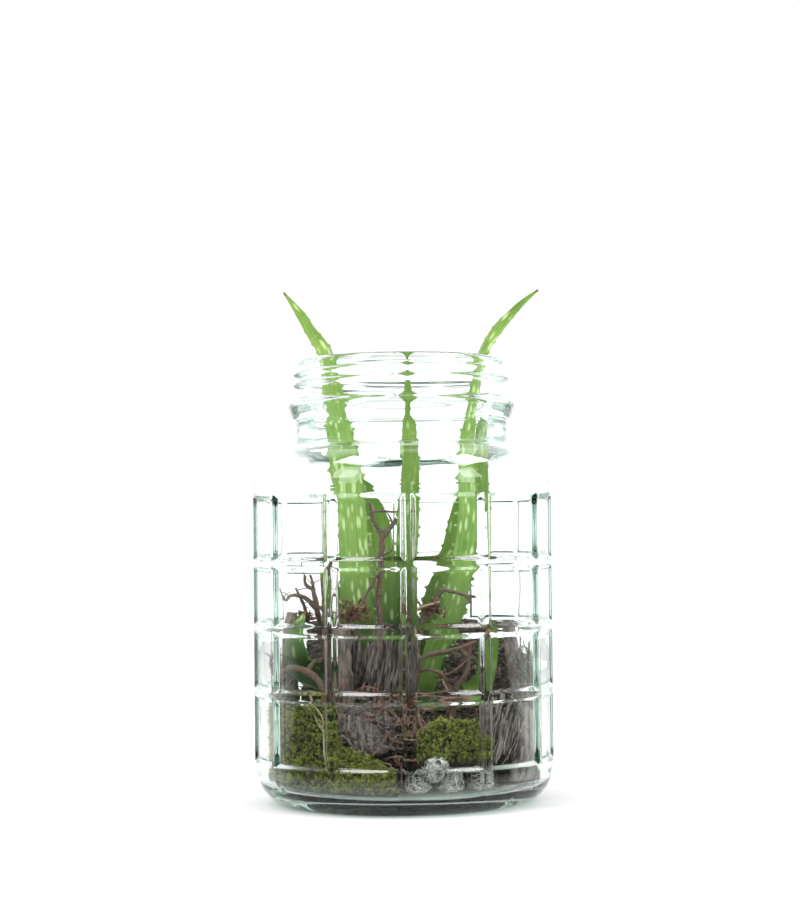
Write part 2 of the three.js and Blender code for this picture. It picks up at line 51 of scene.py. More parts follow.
# %% [markdown]
# ## A small language for materials
# Node trees are hard to read when each node and link has its own line. `Wire` wraps the output of a
# node, so that sums are written as Python sums and each operator adds the Math node it needs. `Tree`
# is a node tree under construction, whose method `add` makes any other node, and `Finish` is the tree
# of a material with the few patterns that the pieces share.

# %% Shader helpers
def plug(socket, value):
    """Gives a socket a link if the value is a wire, and otherwise a plain value."""
    if isinstance(value, Wire):
        socket.id_data.links.new(value.socket, socket)
    elif hasattr(value, "__len__") and len(value) == 3 and len(socket.default_value) == 4:
        socket.default_value = (*value, 1.0)
    else:
        socket.default_value = value


class Wire:
    """A node's output that can stand in a Python expression."""

    def __init__(self, socket):
        self.socket = socket

    def math(self, operation, other=0.0, swap=False, clamp=False):
        """Adds a Math node on this wire and another value, in the other order if asked to swap."""
        node = self.socket.id_data.nodes.new("ShaderNodeMath")
        node.operation, node.use_clamp = operation, clamp
        first, second = (other, self) if swap else (self, other)
        plug(node.inputs[0], first)
        plug(node.inputs[1], second)
        return Wire(node.outputs[0])

    def __add__(self, other):
        return self.math("ADD", other)

    def __sub__(self, other):
        return self.math("SUBTRACT", other)

    def __rsub__(self, other):
        return self.math("SUBTRACT", other, swap=True)

    def __mul__(self, other):
        return self.math("MULTIPLY", other)

    __radd__, __rmul__ = __add__, __mul__

    def over(self, low, high):
        """0 below low, 1 above high, and a straight ramp between them."""
        return ((self - low) * (1.0 / (high - low))).math("ADD", 0.0, clamp=True)


class Tree:
    """A node tree under construction."""

    def __init__(self, owner):
        owner.use_nodes = True
        self.nodes = owner.node_tree.nodes
        self.nodes.clear()

    def add(self, kind, sockets=None, out=0, **settings):
        """Adds a node: its settings first, then its sockets. Gives the output asked for, if it has any."""
        node = self.nodes.new(kind)
        for key, value in settings.items():
            setattr(node, key, value)
        for key, value in (sockets or {}).items():
            plug(node.inputs[key], value)
        return Wire(node.outputs[out]) if node.outputs else None

    def mirrored(self):
        """1 on rays that a surface has mirrored on their way, and 0 on all others."""
        return self.add("ShaderNodeLightPath", out="Glossy Depth").over(0, 1)


class Finish(Tree):
    """A procedural material under construction."""

    def __init__(self, name):
        self.material = bpy.data.materials.new(name)
        super().__init__(self.material)
        self.place = self.add("ShaderNodeTexCoord", out="Object")

    def mix(self, factor, first, second):
        """Goes from the first colour to the second as the factor goes from 0 to 1."""
        return self.add("ShaderNodeMix", {0: factor, 6: first, 7: second}, out=2, data_type="RGBA")

    def stretched(self, scale):
        """Object coordinates scaled by three numbers, for grain that runs one way."""
        return self.add("ShaderNodeMapping", {"Vector": self.place, "Scale": scale})

    def grain(self, size_mm, detail=3.0, roughness=0.6, vector=None):
        """Noise with lumps of about size_mm."""
        sockets = {"Vector": vector or self.place, "Scale": 1.0 / (size_mm * MM), "Detail": detail}
        return self.add("ShaderNodeTexNoise", {**sockets, "Roughness": roughness})

    def bumps(self, height, depth_mm):
        """A normal that follows a height between 0 and 1, depth_mm from its lowest to its highest."""
        return self.add("ShaderNodeBump", {"Height": height, "Distance": depth_mm * MM})

    def attribute(self, name):
        """A number that was noted on each vertex."""
        return self.add("ShaderNodeAttribute", out="Fac", attribute_name=name)

    def surface(self, shader, **others):
        """Ends the tree and gives the material."""
        self.add("ShaderNodeOutputMaterial", {"Surface": shader, **others})
        print(f"finish {self.material.name}: {len(self.nodes)} nodes")
        return self.material

    def principled(self, **sockets):
        """Ends the tree with a Principled surface. An underscore in a name stands for a space."""
        named = {key.replace("_", " "): value for key, value in sockets.items()}
        return self.surface(self.add("ShaderNodeBsdfPrincipled", named))


# %% [markdown]
# ## Helpers for shapes
# Leaves, twigs, bark and stems are all sweeps: a ring that is extruded step by step along a smooth
# path. The path is a centripetal Catmull-Rom curve, which passes through every point without
# overshooting, and is read at even steps along its length. The jar and the soil are outlines spun
# round the axis, and what repeats hundreds of times is one small mesh copied to many places.

# %% Paths
def catmull_rom(points, density=12):
    """Points along a centripetal Catmull-Rom curve through the given ones."""
    ends = [2 * points[0] - points[1], *points, 2 * points[-1] - points[-2]]
    curve = []
    for p0, p1, p2, p3 in zip(ends, ends[1:], ends[2:], ends[3:]):
        t1 = (p1 - p0).length ** 0.5
        t2 = t1 + (p2 - p1).length ** 0.5
        t3 = t2 + (p3 - p2).length ** 0.5
        for i in range(density):
            t = t1 + (t2 - t1) * i / density
            a1, a2 = p0.lerp(p1, t / t1), p1.lerp(p2, (t - t1) / (t2 - t1))
            a3 = p2.lerp(p3, (t - t2) / (t3 - t2))
            b1, b2 = a1.lerp(a2, t / t2), a2.lerp(a3, (t - t1) / (t3 - t1))
            curve.append(b1.lerp(b2, (t - t1) / (t2 - t1)))
    return [*curve, points[-1]]


def stations(path, step):
    """Even stations along a path in millimetres: (place, direction, share of the length)."""
    curve = catmull_rom([Vector(point) for point in path])
    lengths = [0.0]
    for a, b in zip(curve, curve[1:]):
        lengths.append(lengths[-1] + (b - a).length)
    count = max(3, round(lengths[-1] / step))
    places, k = [], 0
    for i in range(count + 1):
        target = lengths[-1] * i / count
        while k < len(lengths) - 2 and lengths[k + 1] < target:
            k += 1
        places.append(curve[k].lerp(curve[k + 1], (target - lengths[k]) / (lengths[k + 1] - lengths[k])))
    ahead = [*places[1:], 2 * places[-1] - places[-2]]
    behind = [2 * places[0] - places[1], *places[:-1]]
    return [(p, (b - a).normalized(), i / count) for i, (p, a, b) in enumerate(zip(places, behind, ahead))]


def reading(pairs, at):
    """Straight-line reading of a list of (position, value) pairs."""
    for (a, low), (b, high) in zip(pairs, pairs[1:]):
        if at <= b:
            return low + (high - low) * max(0.0, (at - a) / (b - a))
    return pairs[-1][1]


def length_of(path):
    """The length of a path, measured straight from point to point."""
    return sum((Vector(a) - Vector(b)).length for a, b in zip(path, path[1:]))


def rough(point, size):
    """Noise between -1 and 1 at a point in millimetres, with lumps of the given size."""
    return noise.noise(Vector(point) / size)


# %% Sweeps
def sweep(bm, path, facing, sides, step, outline, mark=None):
    """Extrudes a ring along a path. outline(angle, t, place) gives (sideways, forwards) in mm."""
    facing = Vector(facing)
    ring = bmesh.ops.create_circle(bm, cap_ends=True, segments=sides, radius=MM)["verts"]
    edges = list(ring[0].link_faces[0].edges)
    for number, (place, direction, t) in enumerate(stations(path, step)):
        if number:
            made = bmesh.ops.extrude_edge_only(bm, edges=edges)["geom"]
            new = [item for item in made if isinstance(item, bmesh.types.BMVert)]
            follow = {edge.other_vert(vert): vert for vert in new for edge in vert.link_edges}
            ring = [follow[vert] for vert in ring]
            edges = [bm.edges.get(pair) for pair in zip(ring, [*ring[1:], ring[0]])]
        side = direction.cross(facing).normalized()
        front = side.cross(direction)
        for i, vert in enumerate(ring):
            angle = 2 * math.pi * i / sides
            u, v = outline(angle, t, place)
            vert.co = (place + side * u + front * v) * MM
            if mark:
                mark(vert, angle, t, u)
    bmesh.ops.contextual_create(bm, geom=edges)


# %% Spins, copies and pieces
def spun(outline, steps, merge):
    """A new bmesh of an outline, (distance, height), spun right round the axis."""
    bm = bmesh.new()
    verts = [bm.verts.new((distance, 0, height)) for distance, height in outline]
    edges = [bm.edges.new(pair) for pair in zip(verts, verts[1:])]
    bmesh.ops.spin(bm, geom=[*verts, *edges], axis=(0, 0, 1), cent=(0, 0, 0), angle=2 * math.pi,
                   steps=steps, use_merge=True, use_duplicate=False)
    bmesh.ops.remove_doubles(bm, verts=bm.verts, dist=merge)
    return bm


def scatter(bm, template, matrices):
    """Adds a copy of a small mesh at each matrix."""
    for matrix in matrices:
        template.transform(matrix)
        bm.from_mesh(template)
        template.transform(matrix.inverted())


def pointing(direction):
    """A matrix that turns Z to a direction."""
    return Vector(direction).to_track_quat("Z", "Y").to_matrix().to_4x4()


def standing(place, direction, size, spin):
    """A matrix that stands a unit shape at a place in mm, its Z along a direction."""
    turned = pointing(direction) @ Matrix.Rotation(spin, 4, "Z") @ Matrix.Scale(size, 4)
    return Matrix.Translation(Vector(place) * MM) @ turned


def mesh_of(name, bm):
    """Closes a bmesh into a mesh with its faces turned outwards."""
    bmesh.ops.recalc_face_normals(bm, faces=bm.faces)
    mesh = bpy.data.meshes.new(name)
    bm.to_mesh(mesh)
    bm.free()
    return mesh


def placed(name, data):
    """A new object in the scene, at the origin."""
    made = bpy.data.objects.new(name, data)
    scene.collection.objects.link(made)
    return made


def finished(name, bm, material, nodes=(), smooth=True):
    """Makes a piece of a bmesh, gives it its finish and hides the imported parts of the nodes it stands for.
    """
    mesh = mesh_of(name, bm)
    mesh.materials.append(material)
    mesh.polygons.foreach_set("use_smooth", [smooth] * len(mesh.polygons))
    piece = placed(name, mesh)
    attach(piece, "root")
    if nodes:
        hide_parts(*nodes)
    print(f"{name}: {len(mesh.polygons)} faces")
    return piece


# %% [markdown]
# ## The camera and the light
# The camera stands 917 mm in front of the jar's axis at 108 mm above the floor, looks up by two
# degrees and is rolled by half a degree, as the photographer's was. It is made first, because every
# choice after it is judged through it.

# %% Camera
EYE = Vector((-0.0007, -0.917, 0.1078))
PITCH, ROLL = math.radians(2.07), math.radians(-0.55)
FOCAL_PX, LONG_SIDE_PX, SENSOR = 2236.0, 914.0, 36.0

lens = bpy.data.cameras.new("camera")
lens.sensor_width = SENSOR
lens.lens = FOCAL_PX / LONG_SIDE_PX * SENSOR
camera = placed("camera", lens)
tilt = Matrix.Rotation(math.pi / 2 + PITCH, 4, "X") @ Matrix.Rotation(ROLL, 4, "Z")
camera.matrix_world = Matrix.Translation(EYE) @ tilt
scene.camera = camera
print("lens:", round(lens.lens, 1), "mm")

# %% [markdown]
# Glass only shows what it bends or mirrors into view. The backdrop burns out to plain white, as it
# does with a lit sweep all round the object, and rays that the glass bends find it brighter still.
# Black flags on the camera's side keep reflections from veiling what the jar holds: rays that the glass
# has mirrored towards the front, off the outside of the wall or its inside, find the room almost dark.
# For them the paper there is painted almost black, as painted shade, and under the jar it is painted
# bright, a painted pool of the light that falls through the glass. Rays that only pass through the glass
# aren't dimmed.

# %% Surround
WHITE = 1.3                        # what the camera sees of the sweep
ROOM, FLAGGED = 1.85, 0.1          # what lights the jar, and what is left of it on the flags
TO_BACK = (0.0, 0.3)               # the share of Y in a direction where the flags end and the room starts
scene.world = bpy.data.worlds.new("surround")
sky = Tree(scene.world)
heading = sky.add("ShaderNodeTexCoord", out="Generated")
to_front = 1 - sky.add("ShaderNodeSeparateXYZ", {0: heading}, out="Y").over(*TO_BACK)
room = sky.add("ShaderNodeBackground", {
    "Strength": ROOM - (ROOM - FLAGGED) * (sky.mirrored() * to_front)})
plain = sky.add("ShaderNodeBackground", {"Strength": WHITE})
seen = sky.add("ShaderNodeLightPath", out="Is Camera Ray")
surround = sky.add("ShaderNodeMixShader", {0: seen, 1: room, 2: plain})
sky.add("ShaderNodeOutputWorld", {"Surface": surround})
print("surround:", len(sky.nodes), "nodes")

# %% Floor
PAPER_HALF = 1.2
# Painted light: seen in reflections, the paper within this distance of the axis is painted bright.
UNDER_JAR = (0.08, 0.11)           # metres from the axis, between which the bright paper ends
paper = Finish("paper")
weave = paper.grain(3.0)
white_paper = paper.add("ShaderNodeBsdfDiffuse", {
    "Color": paper.mix(weave, (0.62, 0.62, 0.62), (0.64, 0.64, 0.64))})
# Painted shade and light, for mirrored rays only: the paper in front is painted almost black, and under the
# jar and behind it painted bright.
way = paper.add("ShaderNodeVectorMath", {0: paper.place}, operation="NORMALIZE")
behind = paper.add("ShaderNodeSeparateXYZ", {0: way}, out="Y").over(*TO_BACK)
off_axis = paper.add("ShaderNodeVectorMath", {0: paper.place}, out="Value", operation="LENGTH")
bright = behind.math("MAXIMUM", 1 - off_axis.over(*UNDER_JAR))
paper_painted_for_reflections = paper.add("ShaderNodeBsdfDiffuse", {
    "Color": paper.mix(bright, (0.03, 0.03, 0.03), (0.9, 0.9, 0.9))})
paper_finish = paper.surface(paper.add("ShaderNodeMixShader", {
    0: paper.mirrored(), 1: white_paper, 2: paper_painted_for_reflections}))

bm = bmesh.new()
bmesh.ops.create_grid(bm, x_segments=8, y_segments=8, size=PAPER_HALF)
floor_mesh = bpy.data.meshes.new("floor")
bm.to_mesh(floor_mesh)
bm.free()
floor_mesh.materials.append(paper_finish)
floor = placed("floor", floor_mesh)
print("paper:", 2 * PAPER_HALF, "m wide")

# %% Lamps
AIM = Vector((0, 0, 0.09))
LAMPS = {   # name: (place in metres, width, height, watts)
    "left_softbox": ((-0.43, -0.30, 1.12), 0.5, 0.36, 7.0),
    "right_softbox": ((0.67, -0.12, 1.12), 0.5, 0.36, 6.5),
    "left_window": ((-0.75, -0.75, 0.75), 0.35, 0.6, 4.0),
    "right_window": ((0.85, -0.6, 0.65), 0.3, 0.5, 3.0),
}
for name, (place, width, height, watts) in LAMPS.items():
    light = bpy.data.lights.new(name, "AREA")
    light.shape, light.size, light.size_y, light.energy = "RECTANGLE", width, height, watts
    lamp = placed(name, light)
    lamp.location = place
    lamp.rotation_euler = (AIM - Vector(place)).to_track_quat("-Z", "Y").to_euler()

scene.view_settings.view_transform = "Standard"
cycles = scene.cycles
cycles.max_bounces = cycles.transmission_bounces = cycles.glossy_bounces = 32
cycles.transparent_max_bounces = 32
cycles.diffuse_bounces = 4
print("lamps:", len(LAMPS))

# %% [markdown]
# ## The jar
# A pressed-glass jar is a solid of revolution with a grid of raised rings and ribs on it, a screw
# thread round its neck and a thick base. The outline is spun round the axis in fine steps, and then
# the vertices of the outer wall are pushed in between the ribs, so that each panel gets bevelled,
# mitred sides. The thread is pushed out of the neck the same way.

# %% Jar sizes
BODY_R, PANEL_DEPTH, INNER_R, FLOOR_Z = 61.0, 1.4, 56.8, 6.5
RINGS = [16.6, 46.0, 71.8, 97.8, 126.3]
CREST_HALF, BEVEL_HALF = 1.1, 3.0
RIB_COUNT, RIB_OFFSET = 12, math.radians(2)
NECK_R, MOUTH_R, JAR_TOP = 43.2, 39.2, 181.0
THREAD_ROOT, THREAD_HEIGHT, THREAD_HALF = 42.4, 2.0, 1.25
THREAD_START, THREAD_PITCH, THREAD_TURNS = 168.0, 4.23, 2.0
SHOULDER_Z, NECK_FOOT, THREAD_FOOT = 122.0, 150.0, 164.5
SPIN_STEPS = 360                   # 30 from rib to rib
NEAR_RIB, DRAWN_TO = 7 / 30, 3.4 / 32   # of a rib's spacing: steps beside it, and the width they fill


def arc(centre, reach, start, stop, steps):
    """Points on an ellipse's arc between two angles in degrees."""
    angles = [math.radians(start + (stop - start) * i / steps) for i in range(steps + 1)]
    return [(centre[0] + reach[0] * math.cos(a), centre[1] + reach[1] * math.sin(a)) for a in angles]


def body_rows():
    """Rows of the ribbed wall: close together over each ring, further apart on the panels."""
    close = (-3.2, -2.9, -2.4, -1.9, -1.4, -1.1, -0.6, 0.0, 0.6, 1.1, 1.4, 1.9, 2.4, 2.9, 3.2)
    rows = [ring + offset for ring in RINGS for offset in close]
    rows += [a + (b - a) * share for a, b in zip(RINGS, RINGS[1:]) for share in (0.2, 0.35, 0.5, 0.65, 0.8)]
    return [z for z in sorted(rows) if RINGS[0] - 1.2 < z < RINGS[-1] + 1.2]


neck_rows = [165.0 + 0.45 * i for i in range(30)]
outer = [
    (0, 2.5), (20, 2.5), (33.5, 2.5), (36.5, 1.9), (38.8, 0.7), (40.2, 0.0), (43.4, 0.0), (46.4, 0.0),
    *arc((45.4, 15.0), (14.9, 15.0), -76, -8, 12),
    *[(BODY_R, z) for z in body_rows()],
    (60.9, 128.2), *arc((43.5, 128.5), (17.5, 17.0), 6, 86, 12),
    (43.9, 146.0), (43.3, 147.0), (NECK_R, NECK_FOOT), (NECK_R, 153.5), (43.5, 155.0), (44.7, 156.6),
    (45.3, 158.0), (45.9, 159.6), (46.4, 160.6), (46.6, 161.4), (46.3, 162.4), (45.2, 163.2),
    (43.4, 163.8), (42.6, 164.4),
    *[(THREAD_ROOT, z) for z in neck_rows],
    (42.35, 178.6), (42.2, 179.6), (41.8, 180.4), (41.2, 180.9), (40.6, JAR_TOP),
    (40.0, 180.8), (39.5, 180.2), (39.2, 179.2),
]
inner = [
    (MOUTH_R, 176.0), (MOUTH_R, 168.0), (MOUTH_R, 160.0), (39.25, 153.0), (39.4, 149.0), (39.8, 146.5),
    *arc((40.5, 127.0), (16.3, 16.3), 78, 4, 12),
    *[(INNER_R, SHOULDER_Z - 5.0 * i) for i in range(22)],
    *arc((49.8, 13.5), (7.0, 7.0), 0, -90, 12),
    (44.0, FLOOR_Z), (30.0, FLOOR_Z), (14.0, FLOOR_Z), (0, FLOOR_Z),
]
WALL = [(z, radius) for radius, z in reversed(inner[:-4])]   # the inside that nothing in the jar may pass
print("jar outline:", len(outer) + len(inner), "points")

# %% Jar shape
def ramp(distance):
    """0 on a crest, 1 on a panel, with softened corners between them."""
    t = min(1.0, max(0.0, (distance - CREST_HALF) / (BEVEL_HALF - CREST_HALF)))
    return t * t * (3 - 2 * t) * 0.6 + t * 0.4


def panel_share(angle, z):
    """How deep a point of the wall lies: 0 on the grid of ribs, 1 inside a panel."""
    spacing = 2 * math.pi / RIB_COUNT
    off_rib = abs((angle - RIB_OFFSET + spacing / 2) % spacing - spacing / 2) * BODY_R
    off_ring = min(abs(z - ring) for ring in RINGS)
    return min(ramp(off_rib), ramp(off_ring))


def thread_rise(angle, z):
    """How far the screw thread stands out of the neck at a point."""
    rise = 0.0
    for turn_number in range(int(THREAD_TURNS) + 1):
        turns = angle / (2 * math.pi) + turn_number
        if turns <= THREAD_TURNS:
            off = abs(z - THREAD_START - THREAD_PITCH * turns) / THREAD_HALF
            fade = min(1.0, 6 * turns / THREAD_TURNS, 6 * (1 - turns / THREAD_TURNS))
            rise = max(rise, fade * max(0.0, 1 - off * off) ** 0.7)
    return rise * THREAD_HEIGHT


def crowded(angle):
    """Draws an evenly spaced angle in towards its nearest rib, where the detail is."""
    spacing = 2 * math.pi / RIB_COUNT
    off = (angle - RIB_OFFSET + spacing / 2) % spacing - spacing / 2
    share = abs(off) / spacing
    if share < NEAR_RIB:
        drawn = share * DRAWN_TO / NEAR_RIB
    else:
        drawn = DRAWN_TO + (share - NEAR_RIB) * (0.5 - DRAWN_TO) / (0.5 - NEAR_RIB)
    return angle - off + math.copysign(drawn * spacing, off)


def unevenness(place, inside):
    """Millimetres by which pressed glass strays from its form, most on the inside of the body."""
    if not inside:
        return 0.08 * rough(place, 11)
    return (0.16 if place[2] < SHOULDER_Z else 0.05) * rough(place, 13) + 0.04 * rough(place, 5)


bm = spun([(radius * MM, z * MM) for radius, z in [*outer, *inner]], SPIN_STEPS, 0.01 * MM)
for vert in bm.verts:
    x, y, z = vert.co / MM
    radius = math.hypot(x, y)
    if radius < 1:
        continue
    angle = crowded(math.atan2(x, -y))
    push = 0.0
    if radius > BODY_R - 0.2 and RINGS[0] < z < RINGS[-1]:
        push = -PANEL_DEPTH * panel_share(angle, z)
    elif abs(radius - THREAD_ROOT) < 0.1 and z > THREAD_FOOT:
        push = thread_rise((angle - math.pi / 2) % (2 * math.pi), z)
    elif radius < INNER_R + 0.1 and FLOOR_Z < z < NECK_FOOT:
        push = unevenness((x, y, z), inside=True)
    elif radius > 44:
        push = unevenness((x, y, z), inside=False)
    vert.co = Vector(((radius + push) * math.sin(angle), -(radius + push) * math.cos(angle), z)) * MM

# %% [markdown]
# Green bottle glass is clear in a thin wall and deep green in a thick one, because it swallows red
# light on the way through. That is a volume, not a surface colour. Light for the planting is let
# straight through by two Light Path mixes, as a real wall would pass it, which keeps the inside of
# the jar free of noise.

# %% Glass finish
glass = Finish("jar_glass")
clear = glass.add("ShaderNodeBsdfPrincipled", {
    "Base Color": (0.99, 1.0, 0.995), "Roughness": 0.0, "IOR": 1.5, "Transmission Weight": 1.0})
through = glass.add("ShaderNodeBsdfTransparent", {"Color": (0.88, 0.91, 0.895)})
passing = clear
for ray in ("Is Diffuse Ray", "Is Shadow Ray"):
    asked = glass.add("ShaderNodeLightPath", out=ray)
    passing = glass.add("ShaderNodeMixShader", {0: asked, 1: passing, 2: through})
tint = glass.add("ShaderNodeVolumeAbsorption", {"Color": (0.05, 0.46, 0.28), "Density": 14.0})
jar_glass = glass.surface(passing, Volume=tint)
finished("glass_jar", bm, jar_glass, ["jar"])

# %% [markdown]
# ## The aloe
# An aloe leaf is a long, fleshy blade: flat or a little hollow in front, rounded behind, with soft
# thorns along both edges and pale flecks that run lengthwise. Each one is a sweep with about thirty
# points round its section. While it is swept, every vertex notes how far along and across the leaf
# it lies, so that the material can draw the flecks along the leaf however it bends. The streaks end
# before the tip. The green is painted darker near the soil, as painted shade of the bark and moss
# there, apart from two leaves whose feet are painted in light at the right.

# %% Leaf tables
FRONT, FRONT_LEFT, FRONT_RIGHT = (0, -1, 0.12), (-0.35, -0.93, 0.1), (0.3, -0.95, 0.1)
LEAVES = {   # name: (path, facing, [(share of the length, width)])
    "leaf_left_tall": ([
        (-9.5, -4, 38), (-14, -7, 58), (-18.5, -9, 82), (-19.8, -8, 105), (-21, -6, 125), (-23.2, -4, 141),
        (-26, -2, 157), (-28.8, -1, 173), (-30.9, 0, 184), (-36.3, 1, 192.3), (-41, 2, 200),
        (-48.1, 3, 209.5)],
        FRONT_LEFT,
        [(0, 11), (0.25, 13), (0.45, 14), (0.6, 13), (0.72, 9.5), (0.83, 6), (0.93, 3.9), (1, 0.7)]),
    "leaf_right_tall": ([
        (6, -3.5, 38), (9, -7, 50), (13, -9, 64), (19, -10, 76), (22.3, -10, 90), (25, -9, 102),
        (26.6, -8, 116), (26.2, -6, 132), (27, -4, 150), (29.8, -2, 166.4), (31.6, -1, 176), (34.1, 0, 184),
        (38.7, 1, 191.7), (44.1, 2, 198), (50.3, 2, 204.2), (57, 2, 209.5)],
        FRONT_RIGHT,
        [(0, 9), (0.15, 9.6), (0.4, 9.4), (0.55, 7.5), (0.66, 5), (0.78, 3.9), (0.88, 4.2), (0.95, 2.6),
         (1, 0.7)]),
    "leaf_centre": ([
        (0, 11, 41), (0.4, 12, 70), (1.2, 11.5, 100), (2.8, 10, 125), (3.4, 8, 140), (3.2, 6, 155),
        (2.8, 4, 168), (2.6, 2, 179)],
        FRONT, [(0, 8), (0.4, 7.6), (0.6, 8.2), (0.74, 7.6), (0.86, 5), (1, 0.7)]),
    "leaf_left_behind": ([
        (-8, 5, 40), (-8.5, 5, 60), (-9, 4.5, 80), (-9.2, 5, 95), (-10.5, 6, 110), (-13, 7, 123),
        (-17, 8, 137)],
        FRONT, [(0, 10), (0.2, 12.5), (0.5, 13.5), (0.75, 11), (0.88, 7), (1, 0.7)]),
    "leaf_right_behind": ([
        (7.5, 7, 40), (9.5, 7.5, 60), (13, 7.5, 80), (17, 7, 92), (20.5, 6, 104), (22.8, 5, 118),
        (25.4, 5, 134)],
        FRONT, [(0, 9), (0.3, 10), (0.6, 9), (0.8, 6.5), (1, 0.7)]),
    "leaf_right_second": ([
        (8.5, 1.5, 38), (14, 0, 58), (18.8, -1, 70), (22, -1.5, 82), (24.8, -1.5, 93), (28, -1, 104),
        (31, -0.5, 117), (32.5, 0, 132), (33, 1, 150), (36, 2, 167)],
        FRONT, [(0, 6), (0.25, 7.6), (0.6, 7), (0.8, 6.2), (0.92, 4.4), (1, 0.7)]),
    "leaf_left_low": ([
        (-10, 0, 40), (-21, -10, 46), (-33, -18, 51), (-40.5, -22.5, 58), (-42, -25, 68), (-38.5, -26, 79)],
        (-0.5, -0.8, 0.6), [(0, 8), (0.4, 10.5), (0.75, 10.5), (0.9, 6), (1, 0.7)]),
    "leaf_right_low": ([
        (6, -9.5, 40), (15, -15, 42), (25, -20, 45), (31.5, -23.5, 52), (34, -25.5, 62), (36, -27, 73)],
        (0.5, -0.8, 0.6), [(0, 7), (0.4, 8), (0.75, 7), (0.9, 4.4), (1, 0.7)]),
    "leaf_left_back": ([
        (-9.5, 11, 46), (-17, 11.5, 60), (-24, 11, 74), (-30, 10, 86), (-34, 9, 97)],
        FRONT, [(0, 8), (0.4, 10.5), (0.75, 8.5), (1, 0.7)]),
}
# Painted light: these leaves keep their full green near the soil, where the others are painted in shade.
FEET_IN_PAINTED_LIGHT = {   # name: (how much light, from which share of the length on)
    "leaf_right_tall": (0.7, 0.0),
    "leaf_right_low": (0.7, 0.4),
}
THORN_PITCH, THORN_HEIGHT = 6.0, 2.0
THORN_FADE = 70                    # over this length before the tip the thorns get smaller
EDGE = 0.97                        # from this share of the half width on, a point lies on the edge
print("leaves:", len(LEAVES))

# %% Leaf finish
leaf_skin = Finish("aloe_leaf")
along, across = leaf_skin.attribute("along"), leaf_skin.attribute("across")
edge, from_tip = leaf_skin.attribute("edge"), leaf_skin.attribute("from_tip")
on_leaf = leaf_skin.add("ShaderNodeCombineXYZ", {"X": across * 0.46, "Y": along * 0.12})
cells = leaf_skin.add("ShaderNodeTexVoronoi", {"Vector": on_leaf, "Scale": 1.0, "Randomness": 0.85})
fleck = 1 - cells.over(0.20, 0.40)
streak_place = leaf_skin.add("ShaderNodeCombineXYZ", {"X": across * 1.3, "Y": along * 0.05})
streaks = leaf_skin.add("ShaderNodeTexNoise", {"Vector": streak_place, "Scale": 1.0, "Detail": 3.0})
patches = leaf_skin.grain(14.0)
green = leaf_skin.mix(patches.over(0.3, 0.7), (0.105, 0.225, 0.022), (0.19, 0.33, 0.04))
off_tip = from_tip.over(6, 32)
green = leaf_skin.mix(streaks.over(0.35, 0.7) * 0.65 * off_tip, green, (0.29, 0.42, 0.12))
# Painted shade: below 100 mm the green is painted darker towards the soil, except where a vertex notes
# painted light.
up = leaf_skin.add("ShaderNodeSeparateXYZ", {0: leaf_skin.place}, out="Z")
painted_light_share = up.over(54 * MM, 100 * MM).math("MAXIMUM", leaf_skin.attribute("lit"))
green = leaf_skin.mix(painted_light_share, (0.028, 0.060, 0.016), green)
spotted = leaf_skin.mix(fleck * 0.85 * up.over(45 * MM, 85 * MM), green, (0.52, 0.66, 0.30))
margin = leaf_skin.mix(edge.over(0.93, 0.99) * 0.7, spotted, (0.11, 0.20, 0.05))
thorn = leaf_skin.mix(leaf_skin.attribute("thorn").over(0.35, 0.8), margin, (0.50, 0.58, 0.26))
dry = leaf_skin.mix(1 - from_tip.over(0.8, 2.4), thorn, (0.13, 0.09, 0.035))
leaf_green = leaf_skin.principled(
    Base_Color=dry, Roughness=0.38 + 0.2 * streaks,
    Normal=leaf_skin.bumps((streaks * 0.6 + fleck * 0.4) * off_tip, 0.16))

# %% Leaf shapes
def thorns(distance, side, seed):
    """0 between the thorns of an edge and 1 at the point of one."""
    place = distance / THORN_PITCH + 0.37 * side + seed
    pitch_shift = 0.22 * math.sin(2.4 * math.floor(place) + seed)
    return max(0.0, 1 - abs(place % 1 - 0.5 - pitch_shift) / 0.15)


def leaf(name, seed):
    """A leaf with its thorns, and with notes of each vertex's place for the finish."""
    path, facing, widths = LEAVES[name]
    # Painted light on this leaf's foot: how much, and from which share of its length on.
    light, first_lit = FEET_IN_PAINTED_LIGHT.get(name, (0, 1))
    bm = bmesh.new()
    noted = ("along", "across", "edge", "from_tip", "thorn", "lit")
    tags = {tag: bm.verts.layers.float.new(tag) for tag in noted}
    length = length_of(path)

    def thorn_at(angle, t):
        """How far a thorn stands out on this side of the leaf, as a share of its height."""
        side = math.copysign(1, math.sin(angle))
        return thorns(t * length, side, seed) * min(1, (1 - t) * length / THORN_FADE)

    def section(angle, t, place):
        width = reading(widths, t)
        depth = max(0.8, min(5.5 * (1 - t) + 1.2, width * 0.42))
        across_share = math.sin(angle)
        full = math.sqrt(max(0.0, 1 - across_share ** 2))
        u = across_share * width / 2 * (1 + 0.03 * rough(place, 9))
        if abs(across_share) > EDGE:
            u += math.copysign(THORN_HEIGHT * min(1, width / 7) * thorn_at(angle, t), across_share)
        hollow = depth * (0.30 - 0.20 * full ** 1.5)
        back = depth * (0.30 - 0.94 * full)
        return u, (hollow if math.cos(angle) > 0 else back) + 0.12 * rough(place + Vector((u, 0, 0)), 3)

    def mark(vert, angle, t, u):
        at_edge = abs(math.sin(angle))
        vert[tags["along"]] = t * length + 61 * seed
        vert[tags["across"]] = u + 17 * seed
        vert[tags["edge"]] = at_edge
        vert[tags["from_tip"]] = (1 - t) * length
        vert[tags["thorn"]] = thorn_at(angle, t) if at_edge > EDGE else 0
        vert[tags["lit"]] = light if t > first_lit else 0

    sweep(bm, path, facing, 32, 0.65, section, mark)
    return bm


for seed, name in enumerate(LEAVES):
    finished("aloe_" + name, leaf(name, seed), leaf_green, [name])

# %% [markdown]
# The crown is the short stem that the leaves grow from. Old leaf bases wrap it in pale, papery
# scales, which here are steps in the radius of another sweep.

